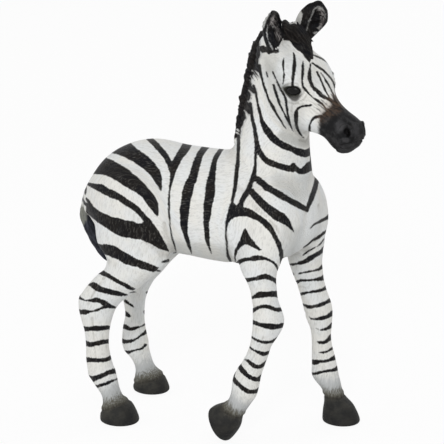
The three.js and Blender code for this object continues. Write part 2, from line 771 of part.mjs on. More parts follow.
// Locks that fan over the forehead and meet in a point
function foreheadLocks(stations) {
  return Array.from({ length: forelockLocks }, (_, i) => {
    const spread = (2 * i) / (forelockLocks - 1) - 1;
    const root = between(stations, foreLockRootShare);
    const tip = between(stations, 1 - foreLockStaggerShare * Math.abs(spread));
    const from = root.place.clone()
      .addScaledVector(root.out, root.height * lockFootShare)
      .addScaledVector(root.side, spread * root.half);
    const to = tip.place.clone()
      .addScaledVector(tip.out, foreLockRiseShare * tip.height)
      .addScaledVector(tip.side, spread * tip.half);
    return lock(from, to, root.side, foreLockWidthShare * forelockWidth, root.height * lockFootShare);
  });
}

// The frame of a hoof: ahead, left and up from the middle of its sole, pitched on its toe
function hoofFrame([at, side], pitch) {
  const ahead = new THREE.Vector3(Math.cos(pitch), 0, -Math.sin(pitch));
  const up = new THREE.Vector3(Math.sin(pitch), 0, Math.cos(pitch));
  const toe = (hoofShares[0][2] * hoofLength) / 2;
  const sole = new THREE.Vector3(along(at), side * stanceWidth, toe * Math.sin(pitch));
  return ([forward, left, high]) => sole.clone()
    .addScaledVector(ahead, forward)
    .addScaledVector(up, high)
    .add(new THREE.Vector3(0, left, 0));
}

// A hoof, whose wall slopes to the toe and has a notch between its heels
function hoofForm(frame) {
  const wall = ([high, back, length, width], { angle, sin, cos }) => {
    const notch = 1 - heelNotchShare * Math.exp(-(((angle - Math.PI) / heelNotchAngle) ** 2));
    const heel = cos < 0 ? heelShare * notch : 1;
    const forward = ((back + length * heel * cos) * hoofLength) / 2;
    return frame([forward, (width * hoofWidth * sin) / 2, high * hoofHeight]);
  };
  return skin(hoofShares.map((row) => turns(hoofSides).map((turn) => wall(row, turn))));
}

// A leg's loft, from the shoulder or hip to inside its hoof
function limbForm(shares, frame, clearance = 0) {
  const coronet = frame([(coronetBackShare * hoofLength) / 2, 0, coronetShare * hoofHeight]).z;
  const height = (share) => (share < 1 ? coronet + share * (legLength - coronet) : aboveBelly(share - 1));
  const sizes = shares.map(([at, high, side, depth, width, pitch]) => [
    along(at), side * stanceWidth, height(high), depth * cannonDepth, width * cannonWidth, pitch,
  ]);
  const rings = sizes.map(([x, y, z, depth, width, pitch], i) => turns(legSides).map(({ sin, cos }) => {
    const ahead = (depth + clearance) * cos;
    const side = (width + clearance) * sin * (1 + heelTaperShare * cos);
    const top = i === 0 ? clearance : 0;
    return new THREE.Vector3(x + ahead * Math.cos(pitch), y + side, z - ahead * Math.sin(pitch) + top);
  }));
  return skin(rings);
}

// A plain geometry with its shared corners merged, as a solid
function plainSolid(geometry) {
  geometry.deleteAttribute("normal");
  geometry.deleteAttribute("uv");
  return solidOf(mergeVertices(geometry));
}

// A tapered key that stands on a face at a place, larger by a clearance where it cuts its socket
function key(place, direction, clearance = 0) {
  const length = keyDepth + overrun + clearance;
  const tip = (keyTaperShare * keyWidth) / 2 + clearance;
  const geometry = new THREE.CylinderGeometry(tip, keyWidth / 2 + clearance, length, keySides);
  geometry.translate(0, length / 2 - overrun, 0);
  const lean = new THREE.Quaternion().setFromUnitVectors(new THREE.Vector3(0, 1, 0), direction);
  geometry.applyQuaternion(lean);
  geometry.translate(place.x, place.y, place.z);
  return plainSolid(geometry);
}

// The side of the figure beyond a leg's flat seat
function beyondSeat(side, clearance = 0) {
  const seat = seatSpacing / 2 - clearance;
  const geometry = new THREE.BoxGeometry(2 * trunkLength, trunkWidth, 2 * backHeight);
  geometry.translate(0, side * (seat + trunkWidth / 2), backHeight - overrun);
  return plainSolid(geometry);
}

// The quarter of the trunk that belongs to a leg: an oval on the flank, and all that is below its middle
function quarter([at, height, lengthShare, depthShare], side, clearance = 0) {
  const length = lengthShare * trunkLength + clearance;
  const depth = depthShare * barrelDepth + clearance;
  const outline = new THREE.Shape();
  outline.moveTo(-length, -backHeight);
  outline.lineTo(length, -backHeight);
  outline.absellipse(0, 0, length, depth, 0, Math.PI, false);
  const geometry = new THREE.ExtrudeGeometry(outline, {
    depth: trunkWidth, bevelEnabled: false, curveSegments: quarterSides, steps: 1,
  });
  geometry.rotateX(Math.PI / 2);
  geometry.translate(along(at), side > 0 ? trunkWidth : 0, aboveBelly(height));
  geometry.translate(0, side * (seatSpacing / 2 - clearance), 0);
  return plainSolid(geometry);
}

function legKey([at, height], side, clearance = 0) {
  const place = new THREE.Vector3(along(at), (side * seatSpacing) / 2, aboveBelly(height));
  return key(place, new THREE.Vector3(0, -side, 0), clearance);
}

// A leg piece, and the pocket that it leaves in the trunk
function leg({ shares, hoof, pitch, quarterShares, keyShares, side }, body) {
  const frame = hoofFrame(hoof, pitch);
  const limb = limbForm(shares, frame).intersect(beyondSeat(side));
  const flank = body.intersect(quarter(quarterShares, side));
  const piece = joined([limb, flank, hoofForm(frame), legKey(keyShares, side)]);
  const socket = limbForm(shares, frame, jointGap).intersect(beyondSeat(side, jointGap));
  const keyhole = legKey(keyShares, side, jointGap);
  return { piece, pocket: joined([socket, quarter(quarterShares, side, jointGap), keyhole]) };
}

// The tail hangs from the dock, with ridges of hair round its tuft
function tailForm(clearance = 0) {
  const [at, height] = tailPlaceShares;
  const dock = new THREE.Vector3(along(at), 0, aboveBelly(height));
  const place = ([down, forward]) => new THREE.Vector3(forward, 0, -down)
    .multiplyScalar(tailLength)
    .add(dock);
  const rings = smoothRows(tailShares, 2, place).map((row, i) => {
    const middle = place(row);
    const [down, , depth, width] = row;
    const ridge = tailRidgeShare * THREE.MathUtils.clamp(down / tailTuftShare, 0, 1);
    const ridged = (angle) => 1 + ridge * Math.cos(tailRidges * angle);
    const top = i === 0 ? clearance : 0;
    return turns(tailSides).map(({ angle, sin, cos }) => middle.clone().add(new THREE.Vector3(
      ((depth * tailWidth) / 2) * ridged(angle) * cos + clearance * cos,
      ((width * tailWidth) / 2) * ridged(angle) * sin + clearance * sin,
      top,
    )));
  });
  return skin(rings);
}

// Everything above the plane of the neck's seat, from the withers down to the breast
const [seatBack, seatBreast] = neckSeatShares.map(([at, height]) => (
  new THREE.Vector3(along(at), 0, aboveBelly(height))
));
const seatSlope = new THREE.Vector3().subVectors(seatBreast, seatBack).normalize();
const seatNormal = new THREE.Vector3().crossVectors(seatSlope, new THREE.Vector3(0, 1, 0));

function aboveNeckSeat(clearance = 0) {
  const height = 2 * (neckLength + barrelDepth);
  const geometry = new THREE.BoxGeometry(2 * trunkLength, height, 2 * trunkWidth);
  geometry.translate(0, height / 2 - clearance, 0);
  const across = new THREE.Vector3().crossVectors(seatSlope, seatNormal);
  geometry.applyMatrix4(new THREE.Matrix4().makeBasis(seatSlope, seatNormal, across));
  geometry.translate(seatBack.x, seatBack.y, seatBack.z);
  return plainSolid(geometry);
}

function neckKey(clearance = 0) {
  const middle = new THREE.Vector3().addVectors(seatBack, seatBreast).divideScalar(2);
  return key(middle, seatNormal.clone().negate(), clearance);
}

// The pieces, each cut by what it carries
function buildPieces() {
  const hair = hairStations();
  const maneGroove = strip(hair.all, jointGap);
  const ears = { left: earForm(1), right: earForm(-1) };
  const earSockets = [earForm(1, jointGap), earForm(-1, jointGap)];
  const headSocket = headForm(jointGap);

  const body = trunkForm().add(neckForm());
  const legs = Object.entries(legPlans).map(([name, plan]) => [name, leg(plan, body)]);
  const pockets = legs.map(([, { pocket }]) => pocket);
  const neckSocket = neckForm(jointGap).intersect(aboveNeckSeat(jointGap));
  const trunk = cutBy(body, [neckSocket, neckKey(jointGap), maneGroove, ...pockets, tailForm(jointGap)]);
  const keyedNeck = neckForm().intersect(aboveNeckSeat()).add(neckKey());
  const neck = cutBy(keyedNeck, [headSocket, maneGroove, ...earSockets]);

  const skull = [1, -1].reduce((form, side) => withNostril(withEye(form, side), side), headForm());
  const head = cutBy(skull, [mouthGroove(), maneGroove, ...earSockets]);

  const tufts = joined([...crestLocks(hair.upright), ...foreheadLocks(hair.forelock)]);
  const locks = cutBy(tufts, [headSocket, neckForm(jointGap)]);
  const mane = cutBy(strip(hair.all, 0).add(locks), earSockets);

  return {
    trunk,
    neck,
    head,
    mane,
    ear_left: ears.left.subtract(earHollow(1)),
    ear_right: ears.right.subtract(earHollow(-1)),
    tail: tailForm(),
    ...Object.fromEntries(legs.map(([name, { piece }]) => [name, piece])),
  };
}

const coat = { color: 0xe8e6e1, roughness: 0.55, metalness: 0 };
const hair = { color: 0x1b1918, roughness: 0.75, metalness: 0 };
const looks = { mane: hair, tail: { ...hair, color: 0x3a3a38 } };

const figure = new THREE.Group();
for (const [name, solid] of Object.entries(buildPieces())) {
  const mesh = new THREE.Mesh(geometryOf(solid), new THREE.MeshStandardMaterial(looks[name] ?? coat));
  mesh.name = name;
  figure.add(mesh);
}
const bounds = new THREE.Box3().setFromObject(figure);
const centre = bounds.getCenter(new THREE.Vector3());
figure.position.set(-centre.x, -centre.y, -bounds.min.z);

export default figure;
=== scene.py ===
# The looks of a moulded toy zebra foal: its painted coat, combed hair, hooves, ears and eyes.
import math

import bpy
import numpy as np
from mathutils import Matrix, Vector
from mathutils.bvhtree import BVHTree


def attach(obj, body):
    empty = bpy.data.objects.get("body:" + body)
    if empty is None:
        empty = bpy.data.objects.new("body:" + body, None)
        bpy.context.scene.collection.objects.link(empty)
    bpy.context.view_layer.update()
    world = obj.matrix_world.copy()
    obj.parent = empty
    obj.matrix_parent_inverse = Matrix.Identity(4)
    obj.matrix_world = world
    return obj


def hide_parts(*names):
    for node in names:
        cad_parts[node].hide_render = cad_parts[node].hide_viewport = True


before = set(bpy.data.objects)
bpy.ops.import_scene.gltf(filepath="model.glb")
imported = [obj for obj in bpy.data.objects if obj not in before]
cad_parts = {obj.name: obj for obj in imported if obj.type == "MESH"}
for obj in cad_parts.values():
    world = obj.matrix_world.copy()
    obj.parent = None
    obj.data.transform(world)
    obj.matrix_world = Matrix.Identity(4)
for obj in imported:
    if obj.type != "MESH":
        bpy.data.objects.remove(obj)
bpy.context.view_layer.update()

MM = 0.001

# The camera: its angle round the foal and above the ground, its distance, what it looks at, and its lens
VIEW_AZIMUTH = math.radians(28)
VIEW_ELEVATION = math.radians(15)
VIEW_DISTANCE = 360 * MM
VIEW_TARGET = Vector((0.25 * MM, -0.74 * MM, 41.14 * MM))
LENS = 150.5
SENSOR = 36
FRAME_SIDE = 444

# The skin: how fine it is cut, and how far the pieces are grown to close their joints before it is drawn
SKIN_GRAIN = 0.22 * MM
JOINT_FILL = 0.2 * MM
SKIN_NODES = (
    "trunk", "neck", "head", "ear_left", "ear_right",
    "foreleg_left", "foreleg_right", "hind_leg_left", "hind_leg_right",
)
FILLER_NODES = ("mane", "tail")
HEAD_NUMBERS = [SKIN_NODES.index(name) for name in ("head", "ear_left", "ear_right")]

# The paint is placed by where it shows in the photograph, a square picture of FRAME_SIDE pixels a side
MM_PER_PIXEL = 0.194
PAINT_REACH = 6.0

# The mirror between the animal's two sides: a place on it, and how far it has turned with the neck by height
MIRROR_PIVOT = (12.1, -0.741, 0)
NECK_TURNS = (
    (54.2, 0), (57.7, 0.1), (62.2, 0.25), (67.2, 0.45), (71.8, 0.65), (75.4, 0.8), (77.5, 0.9), (80, 1),
)
# How far ahead of the left hind leg the right one stands, by height
HIND_STEPS = (
    (0, 3.4), (5, 3.1), (9.6, 3), (12.7, 2.5), (16, 2), (19, 2), (22, 1.75), (24.4, 1.8), (26.5, 2.5),
    (29, 3.4), (31, 3.6), (33, 2.6), (34, 1.5), (38, 0.1), (39, 0),
)
# Each foot: the middle of its sole, the way up to its coronet, how high its hoof is, and the grey above it
FEET = {
    "foreleg_left": ((21.9, 10.6, 0), (0, 0, 1), 5.8, 4.2),
    "foreleg_right": ((4.348, -9.671, 3.255), (0.469, 0, 0.883), 4.8, 4.2),
    "hind_leg_left": ((-20.6, 8.5, 0), (-0.3, 0, 0.954), 3.1, 4.4),
    "hind_leg_right": ((-17.2, -9.9, 0), (-0.41, 0, 0.912), 3.95, 4.4),
}
# How much wider each hoof is than the leg's plain form
FLARES = {"foreleg_left": 1.04, "foreleg_right": 1.04, "hind_leg_left": 1.06, "hind_leg_right": 1.1}
# The lie of each piece's hair: what piece it runs on from, where it turns, and its fall in degrees
HAIR_LIE = {
    "trunk": (None, (0, 0, 0), 12),
    "neck": ("trunk", (8, -0.7, 52), 50),
    "head": ("neck", (13, -0.7, 74), -36),
    "ear_left": ("head", (13, 4, 80), -78),
    "ear_right": ("head", (12, -5, 78), -78),
    "foreleg_left": ("trunk", (14, 6, 40), 84),
    "foreleg_right": ("trunk", (13, -8, 40), 80),
    "hind_leg_left": ("trunk", (-20, 6, 40), 80),
    "hind_leg_right": ("trunk", (-20, -8, 40), 80),
}


def view_axes():
    """The camera's right, up and backward directions."""
    level = math.cos(VIEW_ELEVATION)
    back = Vector((
        math.sin(VIEW_AZIMUTH) * level,
        -math.cos(VIEW_AZIMUTH) * level,
        math.sin(VIEW_ELEVATION),
    ))
    right = Vector((math.cos(VIEW_AZIMUTH), math.sin(VIEW_AZIMUTH), 0))
    return right, back.cross(right), back


VIEW_RIGHT, VIEW_UP, VIEW_BACK = view_axes()
VIEW_PLACE = VIEW_TARGET + VIEW_BACK * VIEW_DISTANCE
PIXELS_PER_SLOPE = LENS / SENSOR * FRAME_SIDE


def make_camera():
    camera = bpy.data.objects.new("camera", bpy.data.cameras.new("camera"))
    camera.data.lens = LENS
    camera.data.sensor_width = SENSOR
    camera.data.clip_start = 0.01
    turn = Matrix((VIEW_RIGHT, VIEW_UP, VIEW_BACK)).transposed()
    camera.matrix_world = Matrix.Translation(VIEW_PLACE) @ turn.to_4x4()
    bpy.context.scene.collection.objects.link(camera)
    bpy.context.scene.camera = camera


def mesh_arrays(mesh):
    """A mesh's points and its faces as triangles."""
    points = np.zeros(len(mesh.vertices) * 3)
    mesh.vertices.foreach_get("co", points)
    mesh.calc_loop_triangles()
    corners = np.zeros(len(mesh.loop_triangles) * 3, np.int32)
    mesh.loop_triangles.foreach_get("vertices", corners)
    return points.reshape(-1, 3), corners.reshape(-1, 3)


def welded(points, faces, tolerance=1e-6):
    """The same faces with points at the same place merged."""
    keys = np.round(points / tolerance).astype(np.int64)
    _, first, index = np.unique(keys, axis=0, return_index=True, return_inverse=True)
    faces = index.reshape(-1)[faces]
    whole = (faces[:, 0] != faces[:, 1]) & (faces[:, 1] != faces[:, 2]) & (faces[:, 2] != faces[:, 0])
    return points[first], faces[whole]


def vertex_normals(points, faces):
    """Normals of points, the mean of the faces round them by area."""
    total = np.zeros_like(points)
    for i in range(1, faces.shape[1] - 1):
        a, b, c = points[faces[:, 0]], points[faces[:, i]], points[faces[:, i + 1]]
        cross = np.cross(b - a, c - a)
        for column in range(faces.shape[1]):
            np.add.at(total, faces[:, column], cross)
    return total / np.maximum(np.linalg.norm(total, axis=1), 1e-30)[:, None]


def mesh_from(name, points, *face_groups):
    """A mesh of points and of groups of faces, the faces of a group having the same number of corners."""
    mesh = bpy.data.meshes.new(name)
    corners = np.concatenate([faces.ravel() for faces in face_groups]).astype(np.int32)
    sides = np.concatenate([np.full(len(faces), faces.shape[1]) for faces in face_groups])
    mesh.vertices.add(len(points))
    mesh.vertices.foreach_set("co", points.astype(np.float32).ravel())
    mesh.loops.add(len(corners))
    mesh.loops.foreach_set("vertex_index", corners)
    mesh.polygons.add(len(sides))
    starts = np.concatenate([[0], np.cumsum(sides)[:-1]])
    mesh.polygons.foreach_set("loop_start", starts.astype(np.int32))
    mesh.update(calc_edges=True)
    mesh.validate()
    return mesh


def node_solid(name, growth):
    """A piece's welded points and triangles, grown along its normals."""
    points, faces = welded(*mesh_arrays(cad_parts[name].data))
    return points + growth * vertex_normals(points, faces), faces


def stacked(solids):
    """Several solids as one array of points and one of triangles."""
    offsets = np.cumsum([0] + [len(points) for points, _ in solids[:-1]])
    points = np.vstack([points for points, _ in solids])
    return points, np.vstack([faces + offset for (_, faces), offset in zip(solids, offsets)])


def redrawn(name, points, faces, grain):
    """The outside of overlapping solids as one mesh of even four-sided faces."""
    source = bpy.data.objects.new(name, mesh_from(name, points, faces))
    bpy.context.scene.collection.objects.link(source)
    remesh = source.modifiers.new("even", "REMESH")
    remesh.mode = "VOXEL"
    remesh.voxel_size = grain
    made = source.evaluated_get(bpy.context.evaluated_depsgraph_get()).to_mesh()
    fresh = np.zeros(len(made.vertices) * 3)
    made.vertices.foreach_get("co", fresh)
    quads = np.zeros(len(made.loops), np.int32)
    made.loops.foreach_get("vertex_index", quads)
    bpy.data.objects.remove(source)
    return fresh.reshape(-1, 3), quads.reshape(-1, 4)


def edges_of(faces):
    """Each edge of the faces once, as pairs of points."""
    pairs = np.vstack([np.stack([faces[:, i], faces[:, (i + 1) % 4]], 1) for i in range(4)])
    return np.unique(np.sort(pairs, axis=1), axis=0)


class Smoother:
    """Moves values at points towards the mean of their neighbours."""

    def __init__(self, count, edges):
        self.count = count
        self.a = np.concatenate([edges[:, 0], edges[:, 1]])
        self.b = np.concatenate([edges[:, 1], edges[:, 0]])
        self.degree = np.maximum(np.bincount(self.a, minlength=count), 1)

    def mean(self, values):
        if values.ndim == 1:
            return np.bincount(self.a, values[self.b], self.count) / self.degree
        return np.stack([self.mean(values[:, i]) for i in range(values.shape[1])], 1)

    def spread(self, values, steps, amount=1.0):
        for _ in range(steps):
            values = values + amount * (self.mean(values) - values)
        return values

    def relax(self, points, steps, weight):
        for _ in range(steps):
            points = points + weight[:, None] * (self.mean(points) - points)
        return points


def nearest_nodes(points):
    """For each point, the number in SKIN_NODES of the piece that it lies nearest to."""
    solids = [welded(*mesh_arrays(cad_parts[name].data)) for name in SKIN_NODES]
    owners = np.repeat(np.arange(len(solids)), [len(faces) for _, faces in solids])
    tree = BVHTree.FromPolygons(*(rows.tolist() for rows in stacked(solids)))
    return np.array([owners[tree.find_nearest(point)[2]] for point in points])


# The head's own frame: its root at the poll, and how it is turned and pitched
HEAD_ROOT = Vector((12.29, -0.74, 79.2)) * MM
HEAD_TURN = math.radians(-17)
HEAD_PITCH = math.radians(36)
HEAD_BASIS = Matrix.Rotation(HEAD_TURN, 3, "Z") @ Matrix.Rotation(HEAD_PITCH, 3, "Y")

# Places on the head in millimetres: along the face, to the side, and up from the forehead's line
EYE = (12.15, 5.0, -2.9)
NOSTRIL = (24.8, 2.6, -1.6)


def on_head(place, side=1):
    """A place on the head, given in millimetres, in the part's frame."""
    forward, left, up = place
    return HEAD_ROOT + HEAD_BASIS @ (Vector((forward, side * left, up)) * MM)


def eased(share):
    """A share from 0 to 1, eased at both ends."""
    return share * share * (3 - 2 * share)


def near(points, centre, reach):
    """1 at a place, falling smoothly to 0 at a reach from it."""
    away = np.linalg.norm(points - np.array(centre), axis=1) / reach
    return eased(np.clip(1 - away, 0, 1))


def smoothing_weights(points, owners):
    """How much each place is evened out: freely on the trunk, and hardly where the face has its details."""
    by_node = {"trunk": 1, "neck": 0.6, "head": 0.24}
    weight = np.array([by_node.get(name, 0.2) for name in SKIN_NODES])[owners]
    weight[np.isin(owners, [SKIN_NODES.index("ear_left"), SKIN_NODES.index("ear_right")])] = 0.06
    trunk_part = (points[:, 2] > 36 * MM) & (points[:, 2] < 58 * MM)
    weight[trunk_part] = np.maximum(weight[trunk_part], 0.8)
    weight = smoother.spread(weight, 40)
    for side in (1, -1):
        for place, reach in ((EYE, 3.2), (NOSTRIL, 2.6)):
            weight = np.minimum(weight, 1 - 0.96 * near(points, on_head(place, side), reach * MM))
    return weight


def build_skin():
    solids = [node_solid(name, JOINT_FILL) for name in SKIN_NODES + FILLER_NODES]
    points, faces = redrawn("skin", *stacked(solids), SKIN_GRAIN)
    return points, faces, Smoother(len(points), edges_of(faces))


def refined(points, faces, chosen, values):
    """The mesh with its chosen faces cut in four, and its values at the new points too."""
    cut = faces[chosen]
    ends = np.stack([cut, np.roll(cut, -1, 1)], 2).reshape(-1, 2)
    edges, index = np.unique(np.sort(ends, 1), axis=0, return_inverse=True)
    middle = len(points) + index.reshape(-1, 4)
    centre = len(points) + len(edges) + np.arange(len(cut))
    quarters = [np.stack([cut[:, i], middle[:, i], centre, middle[:, i - 1]], 1) for i in range(4)]
    fresh = [np.concatenate([v, v[edges].mean(1), v[cut].mean(1)]) for v in (points, *values)]
    return fresh[0], np.vstack([faces[~chosen]] + quarters), fresh[1:]


skin_points, skin_faces, smoother = build_skin()
skin_points = smoother.spread(skin_points, 2, 0.5)
skin_points = skin_points - JOINT_FILL * vertex_normals(skin_points, skin_faces)
skin_owners = nearest_nodes(skin_points)
skin_points = smoother.relax(skin_points, 90, smoothing_weights(skin_points, skin_owners))
head_share = smoother.spread(np.isin(skin_owners, HEAD_NUMBERS).astype(float), 30)
face_owners = skin_owners[skin_faces[:, 0]]
skin_masks = np.stack([skin_owners == number for number in range(len(SKIN_NODES))], 1).astype(float)
fine = np.isin(face_owners, HEAD_NUMBERS)
skin_points, skin_faces, (head_share, skin_masks) = refined(
    skin_points, skin_faces, fine, (head_share, skin_masks))
face_owners = np.concatenate([face_owners[~fine], np.tile(face_owners[fine], 4)])
skin_owners = skin_masks.argmax(1)
smoother = Smoother(len(skin_points), edges_of(skin_faces))

# The broad painted patches, as outlines in the photograph's pixels
PATCHES = {
    "croup patch above": ((106, 150), (113, 147), (121, 143), (127, 139), (131, 143), (137, 149),
        (144, 153), (151, 159), (156, 164.5), (160, 171), (162, 179), (162, 186), (161.5, 191.5),
        (160, 190.5), (157, 185.5), (152, 178), (148, 172.5), (140, 167), (132, 161.5), (124, 157),
        (118, 154.5), (111, 153)),
    "croup patch below": ((88, 172), (100, 152), (105, 157), (112, 160), (120, 164.5), (128, 169),
        (135, 175), (142, 181), (150, 190), (155, 196), (158, 204), (159, 212), (158, 217), (156, 216),
        (152, 211), (147, 204), (142, 197), (136, 192.5), (130, 190), (122, 184.5), (115, 180), (107, 176),
        (100, 174.5), (92, 174)),
    "haunch fork": ((86, 182), (95, 183.5), (102, 184), (108, 188), (115, 191), (121, 194), (127, 199),
        (133, 202.5), (139, 207), (144, 213), (150, 219), (155, 225.5), (160, 233), (164, 241), (168, 249),
        (169.5, 252), (166, 251), (160, 249), (150, 244), (141, 240), (133, 239), (125, 237.5), (117, 235),
        (110, 231), (104, 226.5), (98, 223), (91, 217), (86, 212), (86, 202), (91, 205), (97, 209),
        (103, 213), (110, 216), (117, 217.5), (125, 220), (132, 221), (138, 223.5), (142, 223.5),
        (143.5, 221.5), (141, 218), (135, 211.5), (130, 208), (124, 205), (119, 201), (115, 199.5),
        (110, 197.5), (104, 194.5), (98, 191.5), (93, 188.5), (86, 184.5)),
    "thigh patch": ((97, 243), (102, 244.5), (109, 244.5), (115, 246), (120, 249.5), (126, 252.5),
        (132, 256), (139, 259.5), (145, 262), (151, 264), (155, 266), (158.5, 267.5), (157, 271),
        (153, 272.5), (148, 271), (142, 269), (137, 267), (131, 266.3), (124, 263.5), (119, 260.5),
        (114, 258), (109, 256), (103, 254), (98, 250)),
    "shoulder blot": ((231, 199), (233.5, 202.5), (236.5, 205), (240.5, 200), (244.5, 200.5), (243.5, 207),
        (249, 209.5), (250, 217.5), (244, 216.5), (238, 216.5), (233, 218.5), (229.5, 222), (226, 229),
        (225.5, 222), (228, 214), (230, 208)),
    "shoulder arrow": ((245, 228), (247, 230.5), (250, 236), (254, 241.5), (258, 246), (262, 250),
        (259, 251), (254, 248.5), (250, 246), (247, 244.5), (243, 245), (240, 248), (237.5, 251.5),
        (236, 256), (236, 263), (234.5, 261), (234, 256), (235, 250), (237, 245), (240, 240), (242, 233.5)),
    "forelock surround": ((283, 30), (283, 40), (290, 41), (293, 46), (298, 51), (302, 53), (305, 58),
        (310, 63), (313, 55), (312.5, 45), (311, 32)),
}
